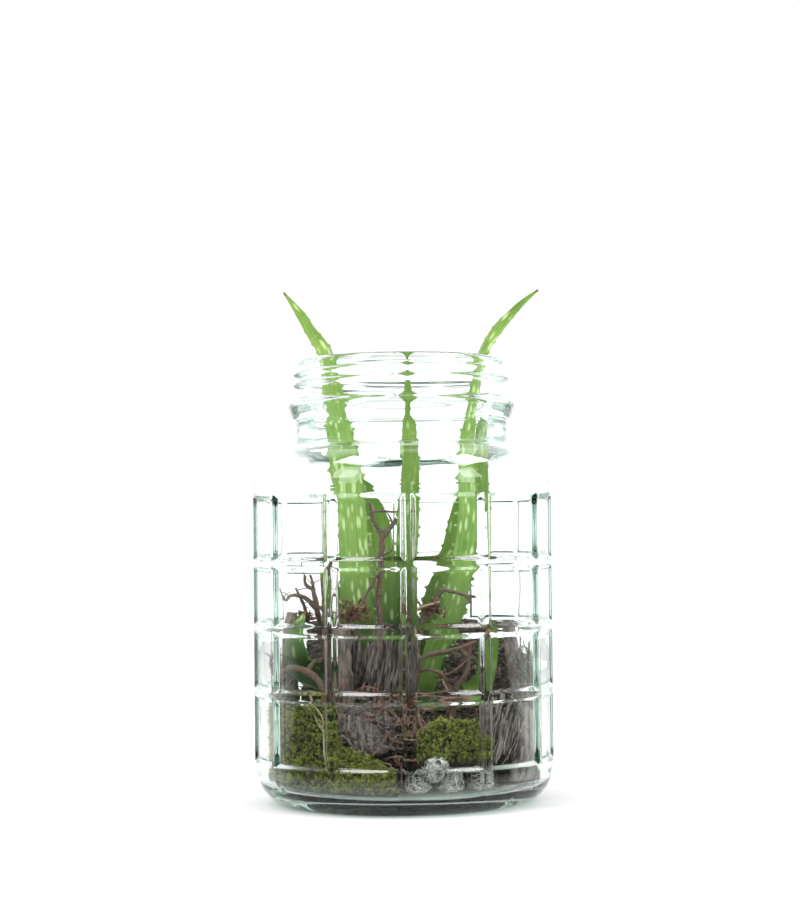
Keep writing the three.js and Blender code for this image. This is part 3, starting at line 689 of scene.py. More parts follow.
# %% Crown
stem_skin = Finish("aloe_stem")
stem_lines = stem_skin.grain(1.2, vector=stem_skin.stretched((1, 1, 0.15)))
stem_tan = stem_skin.mix(stem_lines.over(0.3, 0.7), (0.16, 0.20, 0.06), (0.38, 0.36, 0.20))
stem_finish = stem_skin.principled(
    Base_Color=stem_tan, Roughness=0.65, Normal=stem_skin.bumps(stem_lines, 0.3))
STEM_R, SCALE_ROWS, SCALE_STEP = 6.3, 4, 0.12


def stem_section(angle, t, place):
    """A bulging stem, wound with scales that each end in a small step."""
    scale = 1 - SCALE_STEP * ((SCALE_ROWS * t + angle / 6.3) % 1)
    radius = STEM_R * (0.8 + 0.45 * t - 0.55 * t ** 3) * scale
    return radius * math.sin(angle), radius * math.cos(angle)


bm = bmesh.new()
sweep(bm, [(-1, 3, 24), (-1, 3, 36), (-1, 3, 47)], (0, -1, 0), 40, 0.6, stem_section)
finished("aloe_stem", bm, stem_finish, ["aloe_crown"])

# %% [markdown]
# ## Twigs, roots and straws
# A dry twig is never round or straight: it swells at its nodes, and its bark is ridged. Each limb is
# a sweep whose radius wanders, and limbs simply grow into one another where they fork.

# %% Limb tables
LIMBS = {   # name: [(path, thick radius, thin radius)]
    "twig_fork": [
        ([(-7, -18, 30), (-8, -17, 50), (-9, -16, 72), (-9.7, -15.5, 82), (-9, -15, 94), (-8.4, -15, 108)],
         1.3, 1.05),
        ([(-8.4, -15, 107.6), (-5.8, -15, 111), (-2, -15, 115.4)], 1.05, 0.8),
        ([(-8.4, -15, 107.6), (-10.2, -15, 111.6), (-11.9, -15.5, 116), (-12.6, -15.5, 121.8)], 0.95, 0.6),
        ([(-8.6, -15, 98.6), (-6.6, -15.2, 100.4), (-3.9, -15.5, 102.7)], 0.8, 0.4),
        ([(-12.2, -15.5, 118.3), (-7, -16, 118.5), (-1.8, -16.5, 118.2)], 0.55, 0.35),
        ([(-8.9, -15.3, 96), (-12.6, -17.5, 88.5), (-17, -21, 81), (-20, -26, 75.5)], 0.75, 0.5)],
    "twig_bud": [
        ([(-27, -24, 29), (-29, -25.5, 52), (-30.6, -27, 74), (-30.5, -28, 84), (-30.6, -28, 92)], 1.3, 1),
        ([(-30.6, -28, 91.4), (-29.2, -28, 96), (-28, -28, 99.6), (-27.6, -28, 104)], 1, 0.5),
        ([(-27.7, -28, 102.6), (-27.4, -28, 104.6), (-27.1, -28, 106.6)], 1.2, 0.5)],
    "twig_left": [
        ([(-23, -4, 32), (-27.5, -6, 50), (-33, -14, 72), (-34.2, -21, 80), (-35.8, -21.5, 87.7)], 1.3, 1),
        ([(-35.7, -21.5, 87.2), (-38.6, -21.5, 89.4), (-39, -21.5, 93.8)], 0.9, 0.4),
        ([(-35.8, -21.5, 86.8), (-36, -21.5, 90), (-36.7, -21.5, 94)], 0.8, 0.4),
        ([(-34.2, -21, 79.6), (-39.4, -21.6, 84.5), (-44.2, -22, 85.3), (-46.2, -22, 83.3),
          (-48.6, -21, 88.1)], 1, 0.4),
        ([(-34.2, -21, 80), (-32.6, -21.2, 80.4), (-31.1, -21.5, 79.6)], 0.8, 0.4),
        ([(-37.8, -17.5, 74), (-39, -20, 80.5), (-40.8, -21.8, 84.8), (-42.6, -22, 88.3)], 0.9, 0.4)],
    "twig_right": [
        ([(2, -23, 30), (3, -22, 52), (6, -21, 68), (10, -20.5, 77), (13.5, -20, 82.5)], 1.2, 0.9),
        ([(13.3, -20, 82), (15.9, -20, 86.5), (19.1, -20, 86.1), (23.1, -20, 84.9), (28.7, -20, 84.1)],
         0.9, 0.4),
        ([(9.6, -20.5, 76.4), (7.2, -21, 80.5), (5, -21.5, 82.6)], 0.8, 0.4),
        ([(24.6, -20, 84.5), (26.2, -20.4, 83.2), (26.8, -20.6, 81.8)], 0.6, 0.4),
        ([(5.6, -21, 67), (1.6, -22, 77), (0.6, -23, 86)], 0.8, 0.4),
        ([(10.8, -20.4, 78), (8.6, -22, 79.4), (5.4, -23, 79.2)], 0.7, 0.4)],
    "root_arch": [
        ([(-50, -19, 38), (-49, -24, 50), (-44, -30.5, 56.5), (-37, -36, 55.5), (-31.5, -39.5, 49),
          (-30.5, -40, 39)], 1.6, 1.2),
        ([(-37.5, -35.6, 55.3), (-34.5, -34, 59.5), (-31.6, -33.5, 61)], 1, 0.5)],
    "root_right": [
        ([(3.5, -31, 30), (4, -33, 48), (7.2, -34, 60.6), (14.8, -33.6, 62.7), (21.1, -33, 63.9),
          (28.5, -31, 67)], 0.95, 0.9),
        ([(22, -33, 64), (25.2, -33.4, 59.8), (24.4, -33.4, 54.8), (21, -33.4, 49.4), (19, -32, 40),
          (18, -30, 29)], 0.85, 0.95),
        ([(26, -31.6, 65.6), (24.2, -33.4, 59), (17, -34, 53.8), (13.4, -34, 52.6)], 0.7, 0.4),
        ([(4.6, -33.3, 55), (9.8, -34.2, 55.8), (14.4, -34.2, 54.2), (17.4, -34, 49.6), (17, -33, 38)],
         0.65, 0.75)],
    "rootlets_centre": [
        ([(-3, -40, 36), (-3, -45, 38), (-1.5, -48.5, 36.5), (3, -50, 31)], 0.9, 0.6),
        ([(-2, -48, 37), (-6, -52, 33), (-9, -52.6, 28), (-12.4, -52, 24)], 0.8, 0.4),
        ([(-3, -45, 38), (-7, -49, 41.6), (-12, -49.5, 43.5)], 0.8, 0.4),
        ([(-6.4, -52, 32.6), (-4, -52.6, 30), (1.4, -52.6, 28.6)], 0.6, 0.4)],
    "rootlets_right": [
        ([(3, -35, 37), (4.2, -42, 43.5), (6, -47.5, 36), (9.6, -50.8, 28.4), (16.4, -51.4, 25.4)], 1, 0.5),
        ([(4, -41, 43), (9.6, -44, 41), (14.8, -44.5, 44.8), (22, -42.5, 45.6)], 0.9, 0.5),
        ([(14.6, -44.4, 44.6), (16.6, -40, 47.8), (15, -36.5, 52)], 0.7, 0.4),
        ([(22, -42.5, 45.4), (27, -40, 43.6), (33, -36.5, 43)], 0.6, 0.4)],
    "straw_left": [
        ([(-31.4, -43, 33), (-31, -44.5, 38), (-33.8, -42, 42.4), (-36.4, -39, 47.5)], 0.55, 0.4),
        ([(-30.6, -43.6, 32), (-35, -41, 40), (-38.5, -38, 44.5)], 0.5, 0.35),
        ([(-29.6, -46, 20), (-30.4, -45, 28), (-31, -44, 36)], 0.7, 0.5)],
    "straw_right": [
        ([(5, -26, 30), (4.4, -25.5, 56), (4.6, -24.5, 79)], 0.65, 0.5),
        ([(3, -24.6, 77.6), (8, -24.2, 80.6), (14.6, -24, 82.2)], 0.5, 0.4)],
}
print("limbs:", sum(len(rows) for rows in LIMBS.values()))

# %% Finishes of dry wood
def dry_finish(name, dark, light, accent, grain_mm, depth_mm):
    """Ridged bark: two tones in fine grain and a third in patches."""
    finish = Finish(name)
    fine = finish.grain(grain_mm, detail=6.0)
    coarse = finish.grain(grain_mm * 5, detail=2.0)
    tone = finish.mix(fine.over(0.32, 0.68), dark, light)
    tone = finish.mix(coarse.over(0.52, 0.66) * 0.8, tone, accent)
    return finish.principled(
        Base_Color=tone, Roughness=0.72 + 0.2 * fine, Normal=finish.bumps(fine, depth_mm))


twig_bark = dry_finish(
    "twig_bark", (0.045, 0.028, 0.02), (0.17, 0.115, 0.09), (0.16, 0.06, 0.04), 0.9, 0.25)
root_bark = dry_finish(
    "root_bark", (0.03, 0.018, 0.013), (0.15, 0.092, 0.066), (0.14, 0.05, 0.032), 0.8, 0.25)
rootlet_bark = dry_finish(
    "rootlet_bark", (0.06, 0.034, 0.026), (0.25, 0.15, 0.115), (0.22, 0.07, 0.045), 0.8, 0.2)
straw_skin = dry_finish(
    "straw_skin", (0.17, 0.13, 0.075), (0.40, 0.33, 0.20), (0.26, 0.17, 0.09), 1.2, 0.1)
LIMB_FINISHES = {   # kind: (finish, slot)
    "twig": (twig_bark, "twig"),
    "root": (root_bark, "root"),
    "rootlets": (rootlet_bark, "root"),
    "straw": (straw_skin, "straw"),
}


def limb(bm, path, thick, thin, step=0.7):
    """A wandering, knobbly limb."""
    length = length_of(path)

    def section(angle, t, place):
        node = math.exp(-((t * length) % 6.5 - 3.2) ** 2 / 0.35)
        radius = (thick + (thin - thick) * t) * (1 + 0.22 * rough(place, 2.3) + 0.18 * node)
        ridge = 1 + 0.10 * math.sin(3 * angle + 5 * rough(place, 9))
        drift = 0.35 * rough(place + Vector((90, 0, 0)), 4), 0.35 * rough(place + Vector((0, 90, 0)), 4)
        return radius * ridge * math.sin(angle) + drift[0], radius * ridge * math.cos(angle) + drift[1]

    sweep(bm, [Vector(point) for point in path], (0.31, -0.83, 0.46), 9, step, section)


# %% Side shoots and limbs
rng = random.Random(7)
SHOOT_LIMIT = 54.5                 # side shoots end within this distance from the axis


def shoots(bm, path, count, reach, radius):
    """Short, thin side shoots that leave a limb at random places and droop or rise a little."""
    places = stations(path, 1.5)
    for _ in range(count):
        place, direction, _ = rng.choice(places[1:])
        way = Vector((rng.uniform(-1, 1), rng.uniform(-0.5, 0.5), rng.uniform(-0.3, 1))) + direction * 0.5
        way.normalize()
        length = reach * rng.uniform(0.5, 1)
        kink = place + way * length * 0.5 + Vector((rng.uniform(-1, 1), 0, rng.uniform(-1, 1))) * 0.8
        tip = place + way * length
        if math.hypot(tip.x, tip.y) < SHOOT_LIMIT and math.hypot(kink.x, kink.y) < SHOOT_LIMIT:
            limb(bm, [place, kink, tip], radius, radius * 0.5, 0.9)


for name, rows in LIMBS.items():
    kind = name.split("_")[0]
    bm = bmesh.new()
    for path, thick, thin in rows:
        limb(bm, path, thick, thin)
        if kind != "straw":
            shoots(bm, path, 2, 6.0, thin * 0.55)
    material, slot_name = LIMB_FINISHES[kind]
    finished("dry_" + name, bm, material, [name])

# %% [markdown]
# ## Bark and driftwood
# Loose bark splits along its grain into ridges and steps, and driftwood is worn smooth along the same
# lines. Both are sweeps along the grain, with a section cut by noise that is long in that direction,
# and a finish whose grain is stretched the same way. What leans on the glass is drawn in to it.

# %% Wood tables
WOOD = {   # name: (path, facing, [(share, width, thickness)])
    "bark_left": ([(-44, -5, 33), (-46, -6, 48), (-46.5, -7, 62), (-45, -8, 78)], (-0.9, -0.4, 0),
                  [(0, 13, 5), (0.5, 14, 5.5), (1, 10, 4.5)]),
    "bark_mid": ([(-23, -31.5, 31), (-24, -33, 45), (-24.5, -33.5, 60), (-23.5, -33, 73)], (-0.4, -0.9, 0),
                 [(0, 9, 5), (0.5, 9.5, 5.5), (1, 8, 4)]),
    "bark_front": ([(-9, -27, 31), (-10, -28.5, 46), (-10, -29, 60), (-9, -29, 72)], (-0.1, -1, 0),
                   [(0, 7, 4.5), (0.5, 7.5, 5), (1, 6, 4)]),
    "bark_lump": ([(-25, -43, 39), (-18.5, -46.5, 37), (-12, -48.5, 32), (-7.5, -49.5, 25)], (0, -1, 0.1),
                  [(0, 10, 8), (0.4, 15, 9), (0.8, 13, 8.5), (1, 7, 6)]),
    "driftwood": ([(42, -12, 73), (44, -15, 56), (47.3, -20, 38), (48, -23.5, 24), (44.5, -22.5, 12)],
                  (0.87, -0.48, 0), [(0, 7, 5), (0.4, 9, 6), (0.75, 15, 6.5), (1, 14, 6)]),
}
WALL_GAP = 0.5
print("pieces of wood:", len(WOOD))


def wood_finish(name, dark, light, accent):
    """Split wood: two tones in grain that runs upwards and a third in patches."""
    finish = Finish(name)
    lines = finish.grain(1.5, detail=7.0, vector=finish.stretched((1, 1, 0.16)))
    patches = finish.grain(7.0, detail=4.0)
    tone = finish.mix(lines.over(0.36, 0.64), dark, light)
    tone = finish.mix(patches.over(0.48, 0.66) * 0.7, tone, accent)
    return finish.principled(
        Base_Color=tone, Roughness=0.75 + 0.2 * lines, Normal=finish.bumps(lines, 0.5))


bark_brown = wood_finish("bark_brown", (0.035, 0.024, 0.018), (0.20, 0.155, 0.135), (0.09, 0.055, 0.04))
bark_grey = wood_finish("bark_grey", (0.024, 0.018, 0.016), (0.20, 0.158, 0.15), (0.075, 0.048, 0.042))
drift_grey = wood_finish("driftwood", (0.06, 0.045, 0.04), (0.29, 0.245, 0.23), (0.14, 0.10, 0.09))
WOOD_FINISHES = {"bark_lump": (bark_grey, "bark"), "driftwood": (drift_grey, "driftwood")}


def keep_inside(bm, gap):
    """Draws in what comes nearer to the jar's wall than a gap in mm."""
    for vert in bm.verts:
        radius = math.hypot(vert.co.x, vert.co.y) / MM
        limit = reading(WALL, vert.co.z / MM) - gap
        if radius > limit:
            vert.co.x *= limit / radius
            vert.co.y *= limit / radius


def wood(name):
    """A piece of wood, split along its grain."""
    path, facing, sizes = WOOD[name]
    widths = [(t, width) for t, width, _ in sizes]
    depths = [(t, depth) for t, _, depth in sizes]

    def section(angle, t, place):
        around = Vector((math.sin(angle) * 9, math.cos(angle) * 9, 55 * t))
        cracks = abs(rough((around.x, around.y, around.z * 0.22), 3.2))
        fibres = rough((around.x, around.y, around.z * 0.12), 1.4)
        lumps = rough(around + place * 0.3, 7)
        size = 1.0 - 0.22 * (1 - min(1, cracks * 5)) + 0.13 * lumps + 0.09 * fibres
        ends = min(1.0, 0.72 + 4 * t, 0.72 + 4 * (1 - t) + 0.2 * lumps)
        u, v = reading(widths, t) / 2 * size * ends, reading(depths, t) / 2 * size * ends
        return u * math.sin(angle), v * math.cos(angle)

    bm = bmesh.new()
    sweep(bm, path, facing, 48, 0.6, section)
    keep_inside(bm, WALL_GAP)
    return bm


for name in WOOD:
    material, slot_name = WOOD_FINISHES.get(name, (bark_brown, "bark"))
    finished("dry_" + name, wood(name), material, [name])

# %% [markdown]
# ## Loose fibres and husks
# Between the large pieces lies what falls off them: shreds of bark, root hairs that follow the glass,
# strands of dry moss that stand against it on both sides, and small curled husks. They fill the gaps
# with dark, busy texture. Each fibre is a thin sweep that wanders sideways and up or down, and its
# depth follows from its distance to the jar's axis. A husk is a flattened cone of six sides.

# %% Loose fibres
dry_moss = dry_finish("dry_moss", (0.018, 0.018, 0.008), (0.11, 0.12, 0.045), (0.09, 0.055, 0.03), 1.0, 0.2)
FIBRES = {   # name: (places x, z and radius as ranges, way, spread, lengths, radii, count, finish, slot)
    "fine_rootlets": ((-25, 15), (21, 47), (50.5, 54.6), (0.6, 0.1), 0.9, (4, 13), (0.16, 0.36), 90,
                      rootlet_bark, "root"),
    "wood_shreds": ((31, 47), (28, 47), (50.5, 54.4), (-0.3, -1), 0.07, (7, 16), (0.2, 0.6), 120,
                    drift_grey, "driftwood"),
    "bark_shreds": ((-26, 2), (42, 58), (31, 36), (0.12, 1), 0.06, (8, 17), (0.4, 1.1), 85,
                    bark_grey, "bark"),
    "lump_shreds": ((-27, -5), (27, 45), (52.5, 54.4), (0.8, -0.6), 0.4, (4, 10), (0.25, 0.7), 70,
                    bark_grey, "bark"),
    "strands_left": ((-53, -45), (36, 57), (52.5, 54.4), (0.15, 1), 0.5, (4, 10), (0.2, 0.5), 80,
                     dry_moss, "moss"),
    "strands_right": ((45, 53), (34, 60), (52.5, 54.4), (-0.15, 1), 0.5, (4, 10), (0.2, 0.5), 90,
                      dry_moss, "moss"),
}
LITTER_GAP = 1.3                   # between the wall and what lies loose beside it


def fibre(bm, x, z, radius, way, spread, length, thickness):
    """A thin fibre that starts at (x, z) on a cylinder round the jar's axis and wanders over it."""
    path, heading = [], Vector((*way, 0)).normalized()
    for _ in range(5):
        limit = min(radius, reading(WALL, z) - LITTER_GAP)
        path.append(Vector((x, -math.sqrt(max(4, limit ** 2 - x ** 2)), z)))
        heading = (heading + Vector((rng.gauss(0, spread), rng.gauss(0, spread), 0))).normalized()
        x, z, radius = x + heading.x * length / 4, z + heading.y * length / 4, radius + rng.gauss(0, 0.3)
    if min(z, path[0].z) > FLOOR_Z + 2:
        limb(bm, path, thickness, thickness * 0.5, 1.2)


for name, (xs, zs, radii, way, spread, lengths, thick, count, material, slot_name) in FIBRES.items():
    bm = bmesh.new()
    for _ in range(count):
        fibre(bm, rng.uniform(*xs), rng.uniform(*zs), rng.uniform(*radii), way, spread,
              rng.uniform(*lengths), rng.uniform(*thick))
    finished(name, bm, material)

# %% Husks
HUSKS = [   # (centre, reach, count)
    ((-19.5, -28.5, 77.8), 6.2, 170),
    ((12.0, -22.5, 79.5), 4.2, 70),
    ((-38.5, -23.0, 76.5), 3.4, 60),
]
husk_finish = dry_finish("husks", (0.05, 0.018, 0.012), (0.20, 0.075, 0.045), (0.24, 0.13, 0.075), 1.0, 0.15)


def flake(name, segments, foot, tip, length, flatness):
    """A small mesh for many copies: a cone, its sizes in mm, pressed flat."""
    bm = bmesh.new()
    bmesh.ops.create_cone(bm, cap_ends=True, segments=segments, radius1=foot * MM, radius2=tip * MM,
                          depth=length * MM)
    bmesh.ops.scale(bm, vec=(1, flatness, 1), verts=bm.verts)
    return mesh_of(name, bm)


husk = flake("husk", 6, foot=0.75, tip=0.12, length=2.8, flatness=0.3)
bm = bmesh.new()
for centre, reach, count in HUSKS:
    scatter(bm, husk, [standing(
        Vector(centre) + Vector((rng.gauss(0, 0.5), rng.gauss(0, 0.22), rng.gauss(0, 0.38))) * reach,
        (rng.gauss(0, 1), rng.gauss(0, 1), rng.gauss(0.3, 1)), rng.uniform(0.5, 1.15), rng.uniform(0, 6.3))
        for _ in range(count)])
finished("dry_husks", bm, husk_finish)

# %% [markdown]
# ## Soil
# Potting soil is a heap of crumbs with bits of fibre and bark in it. The heap itself is an outline
# spun round the axis whose vertices are then drawn out to the wall where the soil touches it and
# lifted to the height of its surface, which rises towards the back. Against glass the eye reads
# single grains, so the finish gives each Voronoi cell a tone of its own and paints a dark line round
# it, as painted shade in the gaps between grains. Crumbs and chips lie on top and along the wall.

# %% Soil sizes and finish
SOIL_REACH = [   # (degrees off the front, distance from the axis)
    (-180, 56.0), (-132, 56.0), (-118, 44), (-85, 43), (-3, 43), (6, 37.3), (45, 37.3),
    (53, 43.5), (78, 43.5), (92, 56.0), (180, 56.0)]
SOIL_HEIGHTS = [(-57, 33), (-20, 36), (2, 40), (20, 58), (36, 69), (57, 73)]   # (y, height)
UNDERSIDE = [*[(0.06 * i, 0) for i in range(15)], (0.87, 0), (0.95, 1.6), (0.99, 4), (1, 7)]


def soil_top(x, y):
    """The height of the heap's surface at a place."""
    return reading(SOIL_HEIGHTS, y) + 1.5 * rough((x, y, 0), 9) + 0.9 * rough((x, y, 50), 3.5)


def soil_reach(x, y):
    """How far the heap goes out from the axis on the side of a place."""
    return reading(SOIL_REACH, math.degrees(math.atan2(x, -y)))


soil = Finish("potting_soil")
crumbs = soil.grain(1.4, detail=8.0, roughness=0.7)
specks = soil.grain(0.9, detail=2.0)
GRAIN_SIZE = 2.8
grains = {"Vector": soil.place, "Scale": 1 / (GRAIN_SIZE * MM)}
own_tone = soil.add("ShaderNodeTexVoronoi", grains, out="Color")
# Painted shade: the gaps between grains are painted almost black; the same mask also drives the bump.
grain_gap_shade = soil.add("ShaderNodeTexVoronoi", grains, feature="DISTANCE_TO_EDGE").over(0.0, 0.16)
soil_tone = soil.mix(crumbs.over(0.3, 0.7), (0.012, 0.009, 0.007), (0.075, 0.052, 0.038))
soil_tone = soil.mix(own_tone.over(0.45, 0.8) * 0.8, soil_tone, (0.125, 0.085, 0.06))
soil_tone = soil.mix(grain_gap_shade, (0.006, 0.0045, 0.004), soil_tone)
soil_tone = soil.mix(soil.grain(9.0).over(0.45, 0.65) * 0.55, soil_tone, (0.016, 0.012, 0.01))
soil_tone = soil.mix(specks.over(0.66, 0.74), soil_tone, (0.24, 0.15, 0.09))
soil_dark = soil.principled(Base_Color=soil_tone, Roughness=0.85 + 0.1 * crumbs,
                            Normal=soil.bumps(grain_gap_shade * 0.6 + crumbs * 0.4, 1.2))

# %% Heap
# A row of the heap's underside has its height in mm. A row above it has UPPER plus a share of the
# way from the underside to the surface.
UPPER = 100
wall_rows = [(1, 0.2 + 0.8 * i / 14 + UPPER) for i in range(15)]
top_rows = [(1 - (i + 1) / 24, 1 + UPPER) for i in range(24)]
bm = spun([*UNDERSIDE, *wall_rows, *top_rows], 180, 1e-4)
for vert in bm.verts:
    share_x, share_y, level = vert.co
    is_upper = level > UPPER / 2
    reach = soil_reach(share_x, share_y)
    x, y = share_x * reach, share_y * reach
    bottom = FLOOR_Z - 0.03 + 0.14 * rough((x, y, 0), 4)
    z = bottom + (soil_top(x, y) - bottom) * (level - UPPER) if is_upper else bottom + level
    pitted = 1 - (0.014 + 0.014 * rough((x, y, z), 2.6)) * is_upper
    x, y = x * pitted, y * pitted
    limit = reading(WALL, z) - WALL_GAP
    squeeze = min(1, limit / max(1, math.hypot(x, y)))
    vert.co = Vector((x * squeeze, y * squeeze, z)) * MM
heap = mesh_of("soil", bm)
print("heap:", len(heap.vertices), "vertices")

# %% Crumbs and chips
crumb_shape = bmesh.new()
bmesh.ops.create_icosphere(crumb_shape, subdivisions=1, radius=0.5 * MM)
for vert in crumb_shape.verts:
    vert.co *= 1 + 0.3 * rough(vert.co / MM * 9, 2)
crumb = mesh_of("crumb", crumb_shape)
chip = flake("chip", 5, foot=0.32, tip=0.14, length=2, flatness=0.45)


def on_soil(count):
    """Random places on the soil's surface."""
    places = []
    while len(places) < count:
        x, y = rng.uniform(-56, 56), rng.uniform(-44, 56)
        if math.hypot(x, y) < soil_reach(x, y) - 1.5:
            places.append((x, y, soil_top(x, y)))
    return places


def round_axis(degrees, radius):
    """x and y of a place, from its angle off the front and its distance to the axis."""
    angle = math.radians(degrees)
    return radius * math.sin(angle), -radius * math.cos(angle)


def on_soil_wall(count, first, last):
    """Random places on the heap's side between two angles off the front."""
    places = []
    for _ in range(count):
        degrees = rng.uniform(first, last)
        reach = reading(SOIL_REACH, (degrees + 180) % 360 - 180) * 0.985
        x, y = round_axis(degrees, reach)
        z = rng.uniform(FLOOR_Z + 2, soil_top(x, y))
        squeeze = min(1, (reading(WALL, z) - LITTER_GAP) / reach)
        places.append((x * squeeze, y * squeeze, z))
    return places


def strewn(bm, template, places, smallest, largest):
    """Copies a small mesh to each place, turned any way and in any size between two."""
    for place in places:
        way = Vector((rng.gauss(0, 1), rng.gauss(0, 1), rng.gauss(0, 1))).normalized()
        scatter(bm, template, [standing(place, way, rng.uniform(smallest, largest), 0)])


bm = bmesh.new()
bm.from_mesh(heap)
strewn(bm, crumb, on_soil(900), 1.2, 3.4)
strewn(bm, crumb, on_soil_wall(1900, -4, 243), 1.0, 2.4)
finished("potting_soil", bm, soil_dark, ["soil"])

chip_finish = dry_finish("chips", (0.06, 0.035, 0.02), (0.26, 0.17, 0.11), (0.32, 0.10, 0.05), 1.0, 0.2)
bm = bmesh.new()
strewn(bm, chip, on_soil(260), 1.0, 3.2)
for first, last, count in ((-5, 6, 150), (35, 60, 60), (60, 243, 260)):
    strewn(bm, chip, on_soil_wall(count, first, last), 0.8, 2.0)
finished("bark_chips", bm, chip_finish)

# %% [markdown]
# ## Moss
# A cushion of moss is thousands of tiny upright shoots, each ringed with leaflets. One shoot is made
# of a few slim cones, and copies of it stand all over a plain dark cushion, which stands for the shade
# deep in the moss. Their tips are brighter than their feet: partly the moss's own darker foot, partly
# painted shade that gives the cushion its depth.

# %% Moss finish
moss_skin = Finish("moss")
height = moss_skin.attribute("height")
moss_patches = moss_skin.grain(5.0)
moss_fine = moss_skin.grain(1.1, detail=2.0)
# Partly painted shade: the cushion and the shoots' feet are near black and the tips bright, partly the
# moss's own darker foot.
moss_tone = moss_skin.mix(moss_patches.over(0.35, 0.65), (0.012, 0.012, 0.005), (0.03, 0.032, 0.008))
moss_tip = moss_skin.mix(moss_fine.over(0.3, 0.7), (0.085, 0.095, 0.014), (0.34, 0.36, 0.055))
moss_tip = moss_skin.mix(moss_patches.over(0.46, 0.66), moss_tip, (0.38, 0.43, 0.075))
moss_tone = moss_skin.mix(height.over(0.4, 1.0), moss_tone, moss_tip)
moss_tone = moss_skin.mix(moss_skin.grain(2.5).over(0.56, 0.66) * 0.8, moss_tone, (0.10, 0.06, 0.028))
moss_green = moss_skin.principled(Base_Color=moss_tone, Roughness=0.7 + 0.2 * moss_fine,
                                  Normal=moss_skin.bumps(moss_fine, 0.3))

# %% One shoot
LEAFLETS, GOLDEN_ANGLE = 8, 2.4
shoot_shape = bmesh.new()
level = shoot_shape.verts.layers.float.new("height")


def cone(bm, foot, direction, length, radius):
    """A slim cone with three sides that stands on a foot."""
    middle = Matrix.Translation((0, 0, length / 2 * MM))
    place = Matrix.Translation(Vector(foot) * MM) @ pointing(direction) @ middle
    bmesh.ops.create_cone(bm, cap_ends=True, segments=3, radius1=radius * MM, radius2=0,
                          depth=length * MM, matrix=place)


cone(shoot_shape, (0, 0, 0), (0, 0, 1), 2.6, 0.3)
for i in range(LEAFLETS):
    way = (math.cos(GOLDEN_ANGLE * i), math.sin(GOLDEN_ANGLE * i), 0.75)
    cone(shoot_shape, (0, 0, 0.45 + 0.24 * i), way, 1.35 - 0.05 * i, 0.27)
bmesh.ops.remove_doubles(shoot_shape, verts=shoot_shape.verts, dist=1e-6)
for vert in shoot_shape.verts:
    reach_out = math.hypot(vert.co.x, vert.co.y) / MM
    vert[level] = min(1, vert.co.z / MM / 2.9 + 0.35 * reach_out)
shoot = mesh_of("shoot", shoot_shape)
print("one shoot:", len(shoot.polygons), "faces")

# %% Moss cushions
MOSS = {   # name: (inner radius, floor, [(degrees, height)], shoots on the wall, shoots on top)
    "moss_left": (43.8, FLOOR_Z - 0.05,
                  [(-117, 26), (-104, 38), (-84, 45), (-34, 45), (-26, 29), (-14, 24), (-3.5, 19)],
                  2900, 560),
    "moss_right": (38.2, 20, [(4, 33), (14, 39), (30, 38), (37, 31)], 520, 230),
}
CUSHION_OFF_WALL, FEET_OFF_WALL = 3.4, 3.3


def round_place(degrees, radius, z):
    """A place from its angle off the front, its distance to the axis and its height."""
    return Vector((*round_axis(degrees, radius), z))


def cushion(inside, floor_z, tops):
    """A plain cushion between two radii, bent round the axis under its row of heights."""
    first, last = tops[0][0], tops[-1][0]
    bm = bmesh.new()
    bmesh.ops.create_cube(bm, size=1)
    bmesh.ops.subdivide_edges(bm, edges=bm.edges, cuts=36, use_grid_fill=True)
    for vert in bm.verts:
        degrees = first + (vert.co.x + 0.5) * (last - first)
        top = reading(tops, degrees) - 2.6 - 2 * (vert.co.y + 0.5)
        z = floor_z + (top - floor_z) * (vert.co.z + 0.5)
        outside = reading(WALL, z) - CUSHION_OFF_WALL
        radius = outside + (inside + 0.4 - outside) * (vert.co.y + 0.5)
        place = round_place(degrees, radius, z)
        vert.co = (place + Vector(rough(place + Vector((0, 0, 40 * k)), 3) * 0.7 for k in range(3))) * MM
    return bm


def shoots_on_wall(count, floor_z, tops):
    """Places of shoots that lean out to the glass all over the cushion's outer side."""
    places = []
    for _ in range(count):
        degrees = rng.uniform(tops[0][0], tops[-1][0])
        z = floor_z + (reading(tops, degrees) - 2.5 - floor_z) * rng.random()
        out = round_place(degrees, 1, 0)
        way = out * rng.uniform(0.15, 0.6) + Vector((rng.gauss(0, 0.35), rng.gauss(0, 0.35), 1))
        size = rng.uniform(0.7, 1.35)
        foot = round_place(degrees, reading(WALL, z) - FEET_OFF_WALL, z)
        places.append(standing(foot, way, size, rng.uniform(0, 6.3)))
    return places


def shoots_on_top(count, inside, tops):
    """Places of upright shoots on the cushion's top, which falls away from the glass."""
    places = []
    for _ in range(count):
        degrees = rng.uniform(tops[0][0], tops[-1][0])
        radius = rng.uniform(inside + 1, 54.3)
        z = reading(tops, degrees) - 3.4 - 2 * (56 - radius) / 12
        way = Vector((rng.gauss(0, 0.3), rng.gauss(0, 0.3), 1))
        size = rng.uniform(0.75, 1.4)
        places.append(standing(round_place(degrees, radius, z), way, size, rng.uniform(0, 6.3)))
    return places


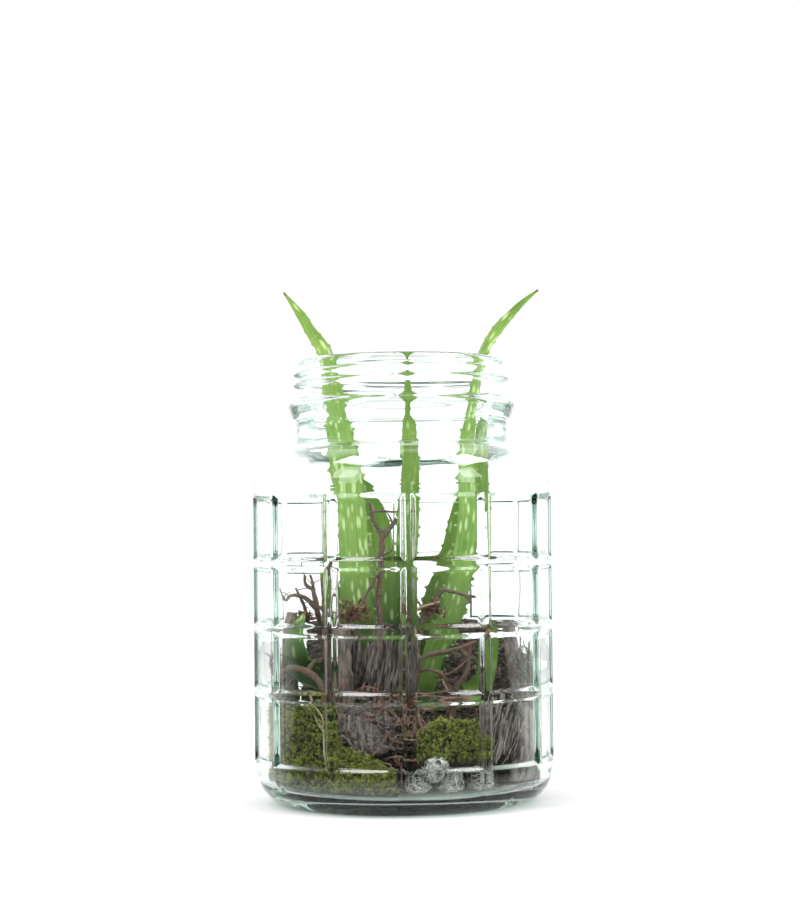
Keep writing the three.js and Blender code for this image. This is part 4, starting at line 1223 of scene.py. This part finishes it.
for name, (inside, floor_z, tops, wall_count, top_count) in MOSS.items():
    bm = cushion(inside, floor_z, tops)
    scatter(bm, shoot, shoots_on_wall(wall_count, floor_z, tops))
    scatter(bm, shoot, shoots_on_top(top_count, inside, tops))
    keep_inside(bm, 0.35)
    finished("cushion_" + name, bm, moss_green, [name], smooth=False)

# %% [markdown]
# ## Marbles
# Crackled marbles are clear glass balls that were heated and quenched, so that hundreds of fine
# cracks sparkle inside them. A crinkled ball with sharp shards and crack lines in its normal gives the
# same sparkle without a mesh of cracks inside, and its colour holds painted glints and reflections:
# light and dark shards and bright crack lines. One marble lies higher up, against the wall, and three lie in
# a row on the jar's floor.

# %% Marble finish
crackled = Finish("crackled_glass")
CRACK_PITCH = 3.0
net = {"Vector": crackled.place, "Scale": 1 / (CRACK_PITCH * MM)}
cracks = crackled.add("ShaderNodeTexVoronoi", net, feature="DISTANCE_TO_EDGE")
shards = crackled.grain(2.0, detail=4.0, roughness=0.7)
# Painted glints and reflections: dark and bright shards, and near-white crack lines, stand for the light the
# cracks inside reflect.
painted_glints = crackled.mix(shards.over(0.42, 0.62), (0.045, 0.042, 0.040), (0.64, 0.60, 0.575))
painted_glints = crackled.mix(1 - cracks.over(0.01, 0.06), painted_glints, (0.93, 0.88, 0.85))
crackled_glass = crackled.principled(
    Base_Color=painted_glints, Roughness=0.12 + 0.2 * shards, IOR=1.5, Transmission_Weight=0.3, Coat_Weight=0.5,
    Normal=crackled.bumps(shards * 0.7 + cracks.over(0.0, 0.12) * 0.3, 0.9))

# %% Marble shapes
MARBLE_R, MARBLE_RING = 5.6, 43.5
centres = [Vector((11.6, -49.5, 19.6))]
for x in (4.9, 17.4, 29.2):
    centres.append(Vector((x, -math.sqrt(MARBLE_RING ** 2 - x * x), FLOOR_Z + 0.3 + MARBLE_R)))
for number, centre in enumerate(centres, 1):
    bm = bmesh.new()
    bmesh.ops.create_icosphere(bm, subdivisions=5, radius=MARBLE_R)
    for vert in bm.verts:
        crinkle = 0.16 * rough(vert.co + centre, 1.7) + 0.10 * abs(rough(vert.co + centre, 0.9))
        vert.co = (centre + vert.co * (1 + (crinkle - 0.12) / MARBLE_R)) * MM
    finished(f"crackled_marble_{number}", bm, crackled_glass, [f"marble_{number}"])
